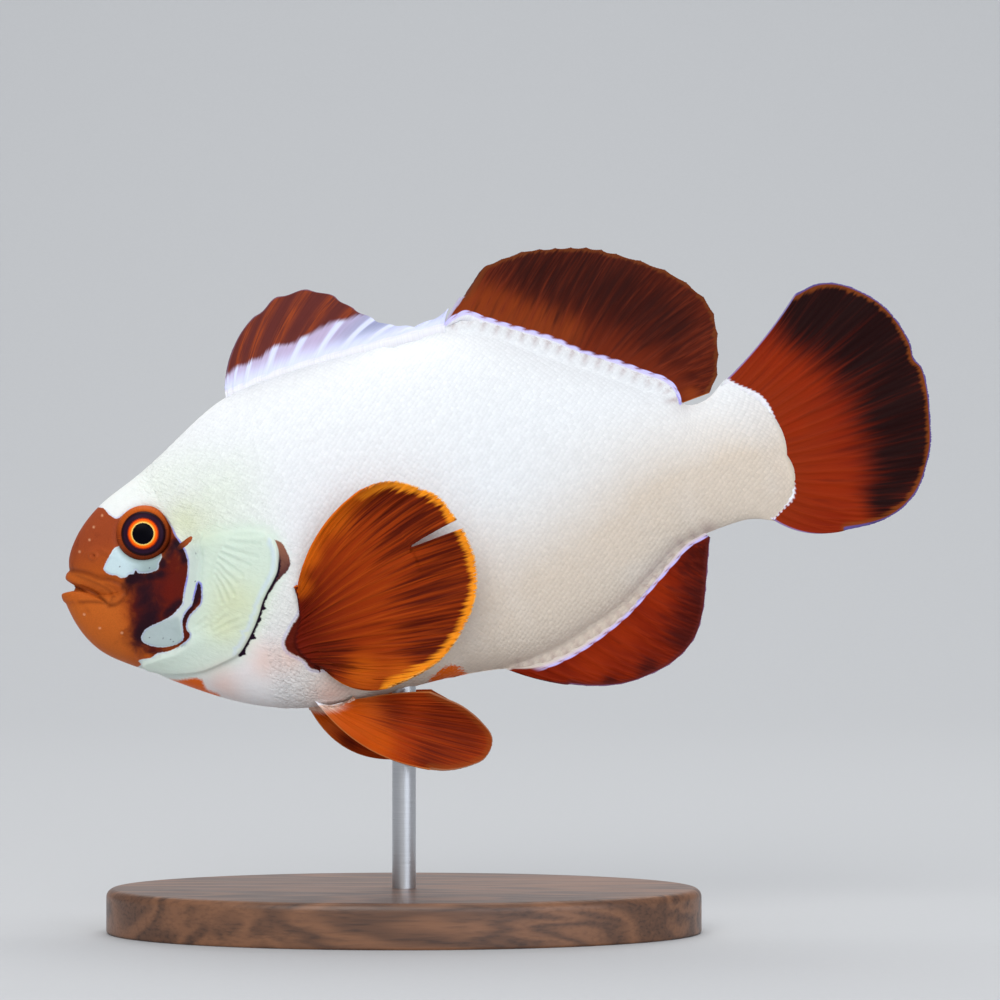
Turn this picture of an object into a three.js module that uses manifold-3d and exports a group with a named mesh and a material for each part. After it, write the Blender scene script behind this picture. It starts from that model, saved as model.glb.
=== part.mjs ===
// A white-bodied maroon clownfish as a life-size display model, held over a flat base by one rod.
//
// Units are millimetres. The fish is drawn level in its own frame: x runs from the lips to the tail,
// z is up and -y is its left side, with the origin at the tip of the lower lip. A group then tilts it
// nose down and lifts it over the stand. The stand's frame is the part's frame: the origin is at the
// centre of the base's underside, and +z is up.

import * as THREE from "three";
import { mergeVertices } from "three/addons/utils/BufferGeometryUtils.js";
import Module from "manifold-3d";

// ---------------------------------------------------------------- driving dimensions
const NOSE_DOWN = THREE.MathUtils.degToRad(11); // the fish's axis against the floor
const LIP_TO_ROD = 46; // from the lower lip back to the rod, level with the floor
const LIP_HEIGHT = 46; // the lower lip above the floor
const GAP = 0.3; // clear space between neighbouring solids
const SOLID_GAP = 0.35; // the same where both faces are curved

const RING_POINTS = 24; // around the body
const RINGS_PER_STATION = 2;
const STEPS_PER_POINT = 2; // along a prism's outline
const FAR = 150; // beyond the fish on every side
const RIDGE_HALF = 0.5; // half thickness of the scaly ridge that sheathes a fin's base
const RIDGE_FILLET = 0.7;
const EDGE_ROUNDING = 20; // how late a section closes at its top and bottom edge
const BACK_SHARPNESS = 1.14; // 1 is an ellipse, and more makes the back narrower
const BELLY_SHARPNESS = 0.96;

const FIN_ROOT_HALF = 0.42; // half thickness of a fin at its root
const FIN_EDGE_HALF = 0.27; // and at its margin
const PECTORAL_SPREAD = 4.5; // how far the pectoral margin stands off the flank
const PELVIC_ROOT = 2.5; // from the middle plane
const PELVIC_SPREAD = 4.6;
const SCALLOP = 0.22; // how far the membrane dips between two ray tips

const EYE = { x: 12.8, z: 5.3, radius: 3.75, bulge: 2.2, depth: 5.9 };

const BASE = { halfLength: 40, halfWidth: 23, height: 6, chamfer: 0.8 };
const ROD = { radius: 1.6, intoBase: 3, intoBelly: 5, bellyHeight: 32.6 };

// ---------------------------------------------------------------- the body's stations
// From the back of the mouth, out over the lips and back to the tail. Each has a point on the top
// line [x, z], the widest point of the side [x, z, half width], a point on the bottom line [x, z],
// the height of the scaly ridge above the back and below the belly, and how far the section bows
// back between its side and its two edges.
const STATIONS = [
  { top: [6.2, -0.9], side: [6.6, -1.4, 0.9], bottom: [6.2, -1.8] },
  { top: [3.8, 0.2], side: [5.6, -1.6, 2.5], bottom: [3.8, -1.5] },
  { top: [1.7, 0.2], side: [4.9, -1.8, 3.1], bottom: [1.1, -0.6] },
  { top: [0.6, 1.2], side: [5.2, -1.9, 3.6], bottom: [-0.2, -0.7] },
  { top: [1.4, 2.5], side: [6.1, -1.9, 4.2], bottom: [0.1, -2.1] },
  { top: [1.6, 3.9], side: [7.3, -1.8, 4.9], bottom: [0.7, -4.3] },
  { top: [2.6, 5.9], side: [8.9, -1.6, 5.8], bottom: [1.8, -6.8] },
  { top: [4.6, 8.3], side: [10.9, -1.3, 6.7], bottom: [3.7, -9.3] },
  { top: [7.6, 10.6], side: [13.2, -1.0, 7.4], bottom: [6.4, -11.3] },
  { top: [11.5, 12.6], side: [15.8, -0.7, 8.1], bottom: [10.0, -13.5] },
  { top: [16.0, 15.1], side: [19.0, -0.4, 8.7], bottom: [14.6, -16.3] },
  { top: [21.0, 18.4], side: [22.8, -0.1, 9.2], bottom: [20.0, -19.2] },
  { top: [26.4, 21.3], side: [27.2, 0.2, 9.6], bottom: [26.0, -21.3] },
  { top: [33.0, 22.8], side: [33.0, 0.5, 9.8], bottom: [33.0, -22.2] },
  { top: [41.0, 23.7], side: [41.0, 0.8, 9.6], bottom: [41.0, -22.1] },
  { top: [49.0, 24.1], side: [49.0, 1.0, 9.0], bottom: [49.0, -21.6] },
  { top: [56.5, 24.9], side: [56.5, 1.0, 8.2], bottom: [56.5, -21.9], ridge: [0.8, 0.3] },
  { top: [62.0, 25.3], side: [62.5, 1.0, 7.3], bottom: [62.0, -22.4], ridge: [2.4, 1.7] },
  { top: [69.0, 21.8], side: [69.5, 0.9, 6.2], bottom: [69.0, -20.4], ridge: [2.8, 2.1] },
  { top: [76.0, 17.8], side: [76.3, 0.7, 5.1], bottom: [76.0, -16.7], ridge: [2.7, 2.0] },
  { top: [82.2, 14.0], side: [82.0, 0.4, 4.2], bottom: [81.6, -11.7], ridge: [2.6, 1.1] },
  { top: [86.0, 11.0], side: [86.0, 0.2, 3.6], bottom: [85.4, -9.5], ridge: [1.6, 0.3] },
  { top: [87.0, 8.6], side: [89.5, 0.1, 3.0], bottom: [89.2, -8.7] },
  { top: [90.1, 8.8], side: [93.4, 0.0, 2.3], bottom: [92.6, -8.4] },
  { top: [92.3, 10.5], side: [97.0, -0.4, 1.3], bottom: [95.0, -9.0], bow: [1.3, 1.2] },
  { top: [93.1, 10.9], side: [99.2, -0.8, 0.35], bottom: [95.8, -9.3], bow: [2.1, 1.9] },
];

// ---------------------------------------------------------------- the fins' outlines
// A fin is a fan of rays from its root line to its margin, both [x, z] from front to back. lean
// below 1 slants the rays back. curl bends the rays' middles forward of the straight line.
const SPINY_DORSAL = {
  root: [[26.6, 21.9], [34, 23.3], [44, 24.3], [56.6, 25.2]],
  margin: [
    [26.9, 22.9], [28.5, 27.2], [31.8, 31], [38.8, 33.6],
    [45.4, 30], [50.2, 26.6], [54.2, 26.1], [57.6, 27],
  ],
  rays: 10,
  lean: 0.75,
};
const SOFT_DORSAL = {
  root: [[57.2, 25.7], [60, 26.6], [65, 24.3], [75, 18.8], [84.4, 13.2], [87, 9.5]],
  margin: [
    [58.2, 27.4], [60.8, 28.8], [64, 32.1], [72, 32.9], [81, 31.1],
    [88.4, 26.4], [93, 20.4], [93.2, 16.5], [92.2, 11.7], [90.6, 9.7],
  ],
  rays: 18,
  lean: 0.86,
};
const CAUDAL = {
  root: [[93.6, 11.4], [97.2, 8.8], [99.5, 3], [99.9, -3.6], [96.3, -9.4]],
  margin: [
    [94.6, 12.4], [99.4, 15.9], [104, 20.2], [107.6, 21.1], [113.5, 18.9], [117.9, 12.4],
    [119.6, 4], [118.6, -2.6], [115.6, -8.6], [109, -12.1], [101, -12], [97.2, -10.6],
  ],
  rays: 19,
  lean: 1,
};
const ANAL = {
  root: [[57.2, -22.4], [62, -22.9], [69, -20.9], [76, -17.2], [82, -12], [86.4, -9.6]],
  margin: [
    [58, -22.9], [62, -24.4], [71.5, -26.8], [79.4, -24.8], [83.6, -20], [85.9, -13.8], [87, -9.9],
  ],
  rays: 14,
  lean: 0.9,
};
const PECTORAL = {
  root: [[32, -5.8], [31.2, -9.6], [30, -13], [32.8, -16.5]],
  margin: [
    [32.2, -4.6], [34.7, -0.7], [38.7, 3], [43.6, 5.4], [49.2, 4.9], [53.6, 0.4], [55.2, -4.6],
    [54.3, -10.2], [51.4, -15.4], [47.3, -18.6], [41.7, -20.6], [37.2, -19.9], [34, -17.4],
  ],
  rays: 17,
  lean: 1,
  curl: 0.05,
};
const PECTORAL_SLIT = [[47.7, -3.4], [56, -1.5], [55.8, -0.2]]; // between two rays of the left fin
const NEAR_PELVIC = {
  root: [[31.2, -22], [33.4, -22.4], [35.8, -21.9]],
  margin: [
    [31.9, -23.6], [34.1, -26.4], [36.8, -29], [42.9, -32.1], [48.6, -33.2],
    [52.5, -31.6], [52.8, -28.4], [50.4, -25.2], [46.4, -22.7], [40.8, -22.4],
  ],
  rays: 6,
  lean: 1,
};
const FAR_PELVIC = {
  root: [[29.4, -21.8], [32, -22.4], [35, -21.9]],
  margin: [
    [28.9, -23.2], [30.9, -26.4], [33.6, -29], [36.8, -30.5], [43, -31.7],
    [48.8, -30.2], [49.2, -26.2], [46, -22.8], [38, -22.5],
  ],
  rays: 6,
  lean: 1,
};

// The outlines of the plates and cuts on the side, [x, z].
const GILL_COVER = [
  [20.3, 3.3], [25, 3.8], [28.6, 2.5], [30, -0.6], [28.8, -3.9],
  [26, -8.2], [23, -12.4], [18.8, -13.4], [17.4, -9.4], [19.3, -4],
];
const GILL_PROUD = 1.045; // the plate's half width against the head's
const GILL_INNER = 4.6; // how deep the plate goes, from the middle plane
const HEAD_BACK = [
  [20.5, 30], [24.8, 19], [28.6, 10], [31, 3], [31.2, -1.4],
  [29.4, -5], [25.9, -9.8], [23, -13.8], [19, -20], [17, -30],
];
const JAW_LINE = [[-4, -0.1], [2, -0.25], [4.9, -1.75], [7, -3.2], [6.4, -6.4], [4.6, -8.6], [2.4, -13]];
const TAIL_CUT = 87.6;

const CHEEK_SPINE = { x: 17.1, y: 8.0, z: 2.5, length: 2.3, radius: 0.5, rise: 26, splay: 14 };
const SPINE_TIP = 0.12;

// ---------------------------------------------------------------- colours
const finish = (color, roughness) => new THREE.MeshStandardMaterial({ color, roughness, metalness: 0 });
const WHITE_SKIN = finish(0xf1efec, 0.42);
const BROWN_SKIN = finish(0xa8501f, 0.42);
const FIN_BROWN = finish(0x8a2c0b, 0.45);
const FIN_ORANGE = finish(0xb45213, 0.45);
const EYE_GLOSS = finish(0x2a1712, 0.1);
const SPINE_BROWN = finish(0x7a3a1c, 0.4);
const STAND_WOOD = finish(0x4a2f20, 0.5);
const STAND_STEEL = new THREE.MeshStandardMaterial({ color: 0xb9bcc0, roughness: 0.3, metalness: 1 });

const wasm = await Module();
wasm.setup();

// ---------------------------------------------------------------- solids and meshes
/** A closed geometry as a manifold-3d solid. */
function solidOf(geometry) {
  const bare = geometry.clone();
  bare.deleteAttribute("normal");
  bare.deleteAttribute("uv");
  const merged = mergeVertices(bare, 1e-4);
  return new wasm.Manifold(
    new wasm.Mesh({
      numProp: 3,
      vertProperties: merged.attributes.position.array,
      triVerts: new Uint32Array(merged.index.array),
    }),
  );
}

/** A manifold-3d solid as a named mesh. */
function meshOf(name, solid, material) {
  const { vertProperties, triVerts } = solid.getMesh();
  const geometry = new THREE.BufferGeometry();
  geometry.setAttribute("position", new THREE.BufferAttribute(new Float32Array(vertProperties), 3));
  geometry.setIndex(new THREE.BufferAttribute(triVerts, 1));
  geometry.computeVertexNormals();
  const mesh = new THREE.Mesh(geometry, material);
  mesh.name = name;
  return mesh;
}

/** Triangles for the grid of points [i][j], as one list of point triples. */
function gridFaces(points, wrap) {
  const triangles = [];
  const across = points[0].length;
  for (let i = 0; i + 1 < points.length; i++)
    for (let j = 0; j < (wrap ? across : across - 1); j++) {
      const k = (j + 1) % across;
      triangles.push([points[i][j], points[i + 1][j], points[i + 1][k]]);
      triangles.push([points[i][j], points[i + 1][k], points[i][k]]);
    }
  return triangles;
}

/** The same triangles, facing the other way. */
const turned = (triangles) => triangles.map(([a, b, c]) => [a, c, b]);

function geometryOf(triangles) {
  const flat = triangles.flat().flatMap((p) => [p.x, p.y, p.z]);
  return new THREE.BufferGeometry().setAttribute("position", new THREE.Float32BufferAttribute(flat, 3));
}

/** A smooth curve in the middle plane through [x, z] points. */
function flatCurve(points) {
  const places = points.map(([x, z]) => new THREE.Vector3(x, 0, z));
  return new THREE.CatmullRomCurve3(places, false, "centripetal");
}

/**
 * A prism between two y values. Its outline is smooth through the [x, z] points and closes through
 * the corners, or on itself where there are none.
 */
function prism(outline, low, high, corners = []) {
  const curve = flatCurve(outline);
  curve.closed = corners.length === 0;
  const smooth = curve.getPoints(outline.length * STEPS_PER_POINT);
  if (curve.closed) smooth.pop();
  const shape = new THREE.Shape([
    ...smooth.map((p) => new THREE.Vector2(p.x, p.z)),
    ...corners.map(([x, z]) => new THREE.Vector2(x, z)),
  ]);
  const geometry = new THREE.ExtrudeGeometry(shape, { depth: high - low, bevelEnabled: false });
  return solidOf(geometry.rotateX(Math.PI / 2).translate(0, high, 0));
}

/** A prism on one side of the fish only, from the depth inner outwards. */
const beside = (outline, sign, inner) =>
  sign < 0 ? prism(outline, -FAR, -inner) : prism(outline, inner, FAR);

/** An outline grown away from its centre. */
function outset(outline, by) {
  const centre = outline.reduce(([a, b], [x, z]) => [a + x / outline.length, b + z / outline.length], [0, 0]);
  return outline.map(([x, z]) => {
    const reach = Math.hypot(x - centre[0], z - centre[1]);
    return [x + ((x - centre[0]) / reach) * by, z + ((z - centre[1]) / reach) * by];
  });
}

/** All that lies on one side of a line that runs across the fish: the corners close its outline. */
const cutter = (line, ...corners) => prism(line, -FAR, FAR, corners);

// ---------------------------------------------------------------- the body
const stationCurve = (pick) => new THREE.CatmullRomCurve3(STATIONS.map(pick), false, "centripetal");
const topLine = stationCurve(({ top }) => new THREE.Vector3(top[0], 0, top[1]));
const sideLine = stationCurve(({ side }) => new THREE.Vector3(side[0], side[2], side[1]));
const bottomLine = stationCurve(({ bottom }) => new THREE.Vector3(bottom[0], 0, bottom[1]));

/** A value of the stations at position t from 0 to 1, straight between them. */
function stationValue(key, side, t) {
  const at = t * (STATIONS.length - 1);
  const i = Math.min(Math.floor(at), STATIONS.length - 2);
  const [a, b] = [STATIONS[i], STATIONS[i + 1]].map((s) => (s[key] ? s[key][side] : 0));
  return a + (b - a) * (at - i);
}

/** The larger of two lengths, with a fillet where they cross. */
const filletedMax = (a, b, fillet) => (a + b + Math.hypot(a - b, fillet)) / 2;

/**
 * The body's surface. Each section has two halves, hinged at the side's widest point: the point at
 * angle a is side + (edge - side) * |cos a|, with the half width of an ellipse that is sharper at
 * the back, joined to a thin ridge where a fin is sheathed.
 */
function bodyPoint(t, angle, widen) {
  const upper = Math.cos(angle) >= 0;
  const side = sideLine.getPoint(t);
  const edge = (upper ? topLine : bottomLine).getPoint(t);
  const half = upper ? 0 : 1;
  const reach = Math.abs(Math.cos(angle));
  const height = Math.hypot(edge.x - side.x, edge.z - side.z);
  const fleshy = 1 - stationValue("ridge", half, t) / Math.max(height, 1);
  const round = Math.sqrt(Math.max(0, 1 - (reach / fleshy) ** 2));
  const flesh = side.y * round ** (upper ? BACK_SHARPNESS : BELLY_SHARPNESS) * widen;
  const ridged = fleshy < 0.999;
  const width = ridged ? filletedMax(flesh, RIDGE_HALF, RIDGE_FILLET) : flesh;
  const closing = ridged ? Math.sqrt(1 - reach ** EDGE_ROUNDING) : 1;
  const bow = stationValue("bow", half, t) * 4 * reach * (1 - reach);
  return new THREE.Vector3(
    side.x + (edge.x - side.x) * reach + bow,
    -Math.sign(Math.sin(angle)) * width * closing,
    side.z + (edge.z - side.z) * reach,
  );
}

/** The ring at position t, with its top and bottom points exactly on the middle plane. */
function bodyRing(t, widen) {
  return Array.from({ length: RING_POINTS }, (_, j) => {
    const point = bodyPoint(t, (2 * Math.PI * j) / RING_POINTS, widen);
    if (j % (RING_POINTS / 2) === 0) point.y = 0;
    return point;
  });
}

/** Closes an end ring by zipping its left side to its right. */
function zip(ring) {
  const triangles = [];
  const n = ring.length;
  for (let j = 0; j < n / 2; j++) {
    const [a, b, c, d] = [ring[j], ring[j + 1], ring[(n - j - 1) % n], ring[(n - j) % n]];
    if (b !== c) triangles.push([a, b, c]);
    if (a !== d) triangles.push([a, c, d]);
  }
  return triangles;
}

function bodySolid(widen = 1) {
  const count = (STATIONS.length - 1) * RINGS_PER_STATION;
  const rings = Array.from({ length: count + 1 }, (_, i) => bodyRing(i / count, widen));
  const skin = turned(gridFaces(rings, true));
  return solidOf(geometryOf([...skin, ...turned(zip(rings[0])), ...zip(rings.at(-1))]));
}

// ---------------------------------------------------------------- fins
/**
 * The middle sheet of a fin, as columns of points along its rays and the membrane between them.
 * out(x, z, along) gives a point's y, where along runs from 0 at the root to 1 at the margin.
 */
function finSheet({ root, margin, rays, lean, curl = 0 }, out, { rows, perRay }) {
  const [rootLine, marginLine] = [flatCurve(root), flatCurve(margin)];
  const last = rays * perRay;
  return Array.from({ length: last + 1 }, (_, i) => {
    const from = rootLine.getPointAt(i / last);
    const to = marginLine.getPointAt((i / last) ** lean);
    const ray = to.clone().sub(from);
    const onMembrane = i > 0 && i < last && i % perRay !== 0;
    if (onMembrane) to.addScaledVector(ray, -SCALLOP / ray.length());
    const across = new THREE.Vector3(-ray.z, 0, ray.x);
    return Array.from({ length: rows + 1 }, (_, j) => {
      const along = j / rows;
      const bend = curl * 4 * along * (1 - along);
      const point = from.clone().lerp(to, along).addScaledVector(across, bend);
      point.y = out(point.x, point.z, along);
      return point;
    });
  });
}

/** Thickens a sheet of points to a closed solid, thinner at its margin than at its root. */
function thicken(sheet) {
  const [last, rows] = [sheet.length - 1, sheet[0].length - 1];
  const normalAt = (i, j) => {
    const ahead = sheet[Math.min(i + 1, last)][j].clone().sub(sheet[Math.max(i - 1, 0)][j]);
    const up = sheet[i][Math.min(j + 1, rows)].clone().sub(sheet[i][Math.max(j - 1, 0)]);
    return ahead.cross(up).normalize();
  };
  const face = (sign) =>
    sheet.map((column, i) =>
      column.map((point, j) => {
        const half = THREE.MathUtils.lerp(FIN_ROOT_HALF, FIN_EDGE_HALF, j / rows);
        return point.clone().addScaledVector(normalAt(i, j), sign * half);
      }),
    );
  const rim = (grid) => [
    ...grid.map((column) => column[0]),
    ...grid.at(-1).slice(1),
    ...grid.map((column) => column[rows]).reverse().slice(1),
    ...grid[0].slice(1, -1).reverse(),
  ];
  const [front, back] = [face(1), face(-1)];
  const triangles = [
    ...gridFaces(front, false),
    ...turned(gridFaces(back, false)),
    ...gridFaces([rim(front), rim(back)], true),
  ];
  const solid = solidOf(geometryOf(triangles));
  return solid.volume() > 0 ? solid : solidOf(geometryOf(turned(triangles)));
}

const finSolid = (fin, out, { rows = 2, perRay = 2 } = {}) => thicken(finSheet(fin, out, { rows, perRay }));

const median = () => 0;

/** The body's half width at a point of the flank, behind the head, where the sections are upright. */
function flankHalfWidth(x, z) {
  let [low, high] = [0.5, 1];
  for (let i = 0; i < 20; i++) {
    const middle = (low + high) / 2;
    if (sideLine.getPoint(middle).x < x) low = middle;
    else high = middle;
  }
  const side = sideLine.getPoint(low);
  const edge = (z > side.z ? topLine : bottomLine).getPoint(low);
  const reach = Math.min(Math.abs((z - side.z) / (edge.z - side.z)), 1);
  return side.y * Math.sqrt(1 - reach * reach);
}

/** The pectoral fin leaves the flank and stands off it more towards its margin. */
const pectoralOut = (sign) => (x, z, along) =>
  sign * (flankHalfWidth(x, z) + FIN_ROOT_HALF + SOLID_GAP + PECTORAL_SPREAD * along);
/** A pelvic fin leaves the belly close to the middle plane and splays out. */
const pelvicOut = (sign) => (x, z, along) => sign * (PELVIC_ROOT + PELVIC_SPREAD * along);

// ---------------------------------------------------------------- eyes and cheek spines
/** A flattened ball. grow swells it for its socket. */
function eyeSolid(sign, grow = 0) {
  const ball = new THREE.SphereGeometry(1, 18, 10).rotateX(Math.PI / 2);
  ball.scale(EYE.radius + grow, EYE.bulge + grow, EYE.radius + grow);
  return solidOf(ball.translate(EYE.x, sign * EYE.depth, EYE.z));
}

/** A spine that points back from the cheek, a little up and out. grow swells it for its socket. */
function cheekSpineSolid(sign, grow = 0) {
  const { x, y, z, length, radius, rise, splay } = CHEEK_SPINE;
  const height = length + 2 * grow;
  const cone = new THREE.CylinderGeometry(SPINE_TIP + grow, radius + grow, height, 10);
  cone.translate(0, height / 2 - grow, 0);
  const [up, out] = [rise, splay].map(THREE.MathUtils.degToRad);
  const points = new THREE.Vector3(Math.cos(up), sign * Math.tan(out), Math.sin(up)).normalize();
  cone.applyQuaternion(new THREE.Quaternion().setFromUnitVectors(new THREE.Vector3(0, 1, 0), points));
  return solidOf(cone.translate(x, sign * y, z));
}

// ---------------------------------------------------------------- the stand
function rodSolid(radius, low, high) {
  const cylinder = new THREE.CylinderGeometry(radius, radius, high - low, 32);
  return solidOf(cylinder.rotateX(Math.PI / 2).translate(0, 0, (low + high) / 2));
}

function baseSolid() {
  const { halfLength, halfWidth, height, chamfer } = BASE;
  const edge = [[halfLength, 0], [halfLength, height - chamfer], [halfLength - chamfer, height]];
  const profile = [[0, 0], ...edge, [0, height]].map(([x, y]) => new THREE.Vector2(x, y));
  const slab = new THREE.LatheGeometry(profile, 48).rotateX(Math.PI / 2);
  return solidOf(slab.scale(1, halfWidth / halfLength, 1));
}

// ---------------------------------------------------------------- assembly
const fish = new THREE.Group();
fish.position.set(-LIP_TO_ROD, 0, LIP_HEIGHT);
fish.rotation.y = -NOSE_DOWN;
fish.updateMatrix();

/** Takes a solid from the stand's frame to the fish's. */
const intoFishFrame = (solid) => solid.transform(fish.matrix.clone().invert().elements);

const rodTop = ROD.bellyHeight + ROD.intoBelly;
const rodBottom = BASE.height - ROD.intoBase;
const socket = intoFishFrame(rodSolid(ROD.radius + SOLID_GAP, 0, rodTop + GAP));

const sides = [
  ["left", -1],
  ["right", 1],
];
const eyeSockets = sides.map(([, sign]) => eyeSolid(sign, GAP));
const gillPlates = sides.map(([, sign]) =>
  bodySolid(GILL_PROUD).intersect(beside(GILL_COVER, sign, GILL_INNER)),
);
const gillPockets = sides.map(([, sign]) =>
  beside(outset(GILL_COVER, SOLID_GAP), sign, GILL_INNER - SOLID_GAP),
);

const shifted = (line, dx, dz) => line.map(([x, z]) => [x + dx, z + dz]);
const headSide = (dx) => cutter(shifted(HEAD_BACK, dx, 0), [-FAR, -FAR], [-FAR, FAR]);
const jawSide = (gap) => cutter(shifted(JAW_LINE, gap, gap), [-FAR, -FAR]);
const tailSide = (dx) => cutter([[TAIL_CUT + dx, FAR], [TAIL_CUT + dx, -FAR]], [FAR, -FAR], [FAR, FAR]);
const aboveRoot = ({ root }) =>
  cutter(shifted(root, 0, -SOLID_GAP), [root.at(-1)[0], FAR], [root[0][0], FAR]);
const belowRoot = ({ root }) =>
  cutter(shifted(root, 0, SOLID_GAP), [root.at(-1)[0], -FAR], [root[0][0], -FAR]);
const behindRoot = ({ root }) =>
  cutter(shifted(root, -SOLID_GAP, 0), [FAR, root.at(-1)[1]], [FAR, root[0][1]]);
const finCuts = [aboveRoot(SPINY_DORSAL), aboveRoot(SOFT_DORSAL), belowRoot(ANAL), behindRoot(CAUDAL)];

const spineSockets = sides.map(([, sign]) => cheekSpineSolid(sign, SOLID_GAP));
let flesh = bodySolid();
const cuts = [...eyeSockets, ...gillPockets, ...spineSockets, ...finCuts, socket];
for (const cut of cuts) flesh = flesh.subtract(cut);
const headEnd = flesh.intersect(headSide(0));
const jaw = headEnd.intersect(jawSide(0));
const head = headEnd.subtract(jawSide(GAP));
const rear = flesh.subtract(headSide(GAP));
const trunk = rear.subtract(tailSide(0));
const tailStem = rear.intersect(tailSide(GAP));

fish.add(meshOf("head", head, WHITE_SKIN));
fish.add(meshOf("jaw", jaw, BROWN_SKIN));
fish.add(meshOf("trunk", trunk, WHITE_SKIN));
fish.add(meshOf("tail_stem", tailStem, WHITE_SKIN));
fish.add(meshOf("dorsal_fin_spiny", finSolid(SPINY_DORSAL, median, { perRay: 4 }), FIN_BROWN));
fish.add(meshOf("dorsal_fin_soft", finSolid(SOFT_DORSAL, median), FIN_BROWN));
fish.add(meshOf("caudal_fin", finSolid(CAUDAL, median), FIN_BROWN));
fish.add(meshOf("anal_fin", finSolid(ANAL, median), FIN_BROWN));
sides.forEach(([name, sign], i) => {
  fish.add(meshOf("gill_cover_" + name, gillPlates[i], WHITE_SKIN));
  fish.add(meshOf("eye_" + name, eyeSolid(sign), EYE_GLOSS));
  fish.add(meshOf("cheek_spine_" + name, cheekSpineSolid(sign), SPINE_BROWN));
  const pectoral = finSolid(PECTORAL, pectoralOut(sign), { rows: 3 });
  const slit = cutter(PECTORAL_SLIT.slice(0, 2), PECTORAL_SLIT[2]);
  fish.add(meshOf("pectoral_fin_" + name, sign < 0 ? pectoral.subtract(slit) : pectoral, FIN_ORANGE));
  const pelvic = sign < 0 ? NEAR_PELVIC : FAR_PELVIC;
  fish.add(meshOf("pelvic_fin_" + name, finSolid(pelvic, pelvicOut(sign), { perRay: 3 }), FIN_ORANGE));
});

const model = new THREE.Group();
model.add(fish);
const rodHole = rodSolid(ROD.radius + GAP, rodBottom - GAP, 2 * BASE.height);
model.add(meshOf("stand_base", baseSolid().subtract(rodHole), STAND_WOOD));
model.add(meshOf("stand_rod", rodSolid(ROD.radius, rodBottom, rodTop), STAND_STEEL));

export default model;
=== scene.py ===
"""A life-size maroon clownfish, held over a plain base by a rod.

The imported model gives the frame: metres, +X towards the tail, +Z up, the left side at -Y. The fish is
worked out in millimetres in its own frame: x back from the lips along its axis, y from left to right,
z up to its back. FishPlace tips that frame nose down and sets it over the stand.
"""

import logging
import math
from collections.abc import Callable
from dataclasses import dataclass, field
from enum import Enum

import bpy
import numpy as np
from numpy.linalg import norm
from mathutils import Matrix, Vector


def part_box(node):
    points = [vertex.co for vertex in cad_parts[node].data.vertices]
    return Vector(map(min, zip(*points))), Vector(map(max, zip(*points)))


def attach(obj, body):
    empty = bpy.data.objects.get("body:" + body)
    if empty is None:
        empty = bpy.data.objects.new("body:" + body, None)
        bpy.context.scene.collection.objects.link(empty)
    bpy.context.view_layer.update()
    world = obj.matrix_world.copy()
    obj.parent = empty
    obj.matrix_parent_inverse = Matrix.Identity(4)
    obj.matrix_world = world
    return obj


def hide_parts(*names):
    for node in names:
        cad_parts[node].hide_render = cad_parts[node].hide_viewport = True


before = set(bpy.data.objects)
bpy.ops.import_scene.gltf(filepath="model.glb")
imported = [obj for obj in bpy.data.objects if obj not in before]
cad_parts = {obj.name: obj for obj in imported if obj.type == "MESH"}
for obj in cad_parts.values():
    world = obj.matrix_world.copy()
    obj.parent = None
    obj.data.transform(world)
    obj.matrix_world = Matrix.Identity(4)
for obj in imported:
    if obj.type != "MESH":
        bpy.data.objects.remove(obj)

log = logging.getLogger("clownfish")

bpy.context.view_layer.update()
MM = 0.001
LATTICE = 32  # knots of the noise each way, before it repeats
VIEW_DISTANCE = 560.0  # mm from the camera to the fish's middle plane
VIEW_CENTRE = np.array([60.13, 0.64])  # what the camera looks at, in the fish's frame

Array = np.ndarray
Pair = tuple[float, float]
Points = tuple[Pair, ...]
Colour = str  # two hex digits each of red, green and blue, as on a screen
Discs = tuple[tuple[float, float, float], ...]  # x, z and radius of each
Place = tuple[float, float, float]
SoftLines = tuple[tuple[Points, float], ...]  # lines, and how wide each is
Offset = Callable[[Array, Array, Array], Array]  # gives y from x, z and the fraction along a ray
Socket = bpy.types.NodeSocket
Material = bpy.types.Material


class Side(Enum):
    """The fish's two sides, by the sign of y."""

    LEFT = -1
    RIGHT = 1


# ---- curves, distances and noise
def rows_of(*columns: Array) -> Array:
    """Rows of coordinates from one array for each."""
    return np.stack(columns, axis=-1)


def smooth_curve(points: Array, closed: bool = False, steps: int = 12) -> Array:
    """A centripetal Catmull-Rom curve through points.

    Each span is the cubic with the slopes of the parabolas through its ends and their neighbours, where
    the parameter grows with the square root of distance.

    Args:
        points: rows of coordinates.
        closed: whether the curve returns to its first point.
        steps: spans drawn between two points.

    Returns:
        The curve's rows; a closed one ends where it starts.
    """
    p = np.asarray(points, float)
    if closed:
        p = np.vstack([p[-1], p, p[0], p[1]])
    else:
        p = np.vstack([2 * p[0] - p[1], p, 2 * p[-1] - p[-2]])
    a, b, c, d = p[:-3], p[1:-2], p[2:-1], p[3:]
    gap = np.sqrt(norm(np.diff(p, axis=0), axis=1))[:, None]
    before, here, after = gap[:-2], gap[1:-1], gap[2:]
    leaving = here * ((b - a) / before - (c - a) / (before + here) + (c - b) / here)
    arriving = here * ((c - b) / here - (d - b) / (here + after) + (d - c) / after)
    t = (np.arange(steps) / steps)[None, :, None]
    b, c, leaving, arriving = (v[:, None, :] for v in (b, c, leaving, arriving))
    cubic = b + t * leaving + t**2 * (3 * (c - b) - 2 * leaving - arriving)
    cubic = cubic + t**3 * (2 * (b - c) + leaving + arriving)
    return np.vstack([cubic.reshape(-1, p.shape[1]), p[-2]])


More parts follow.
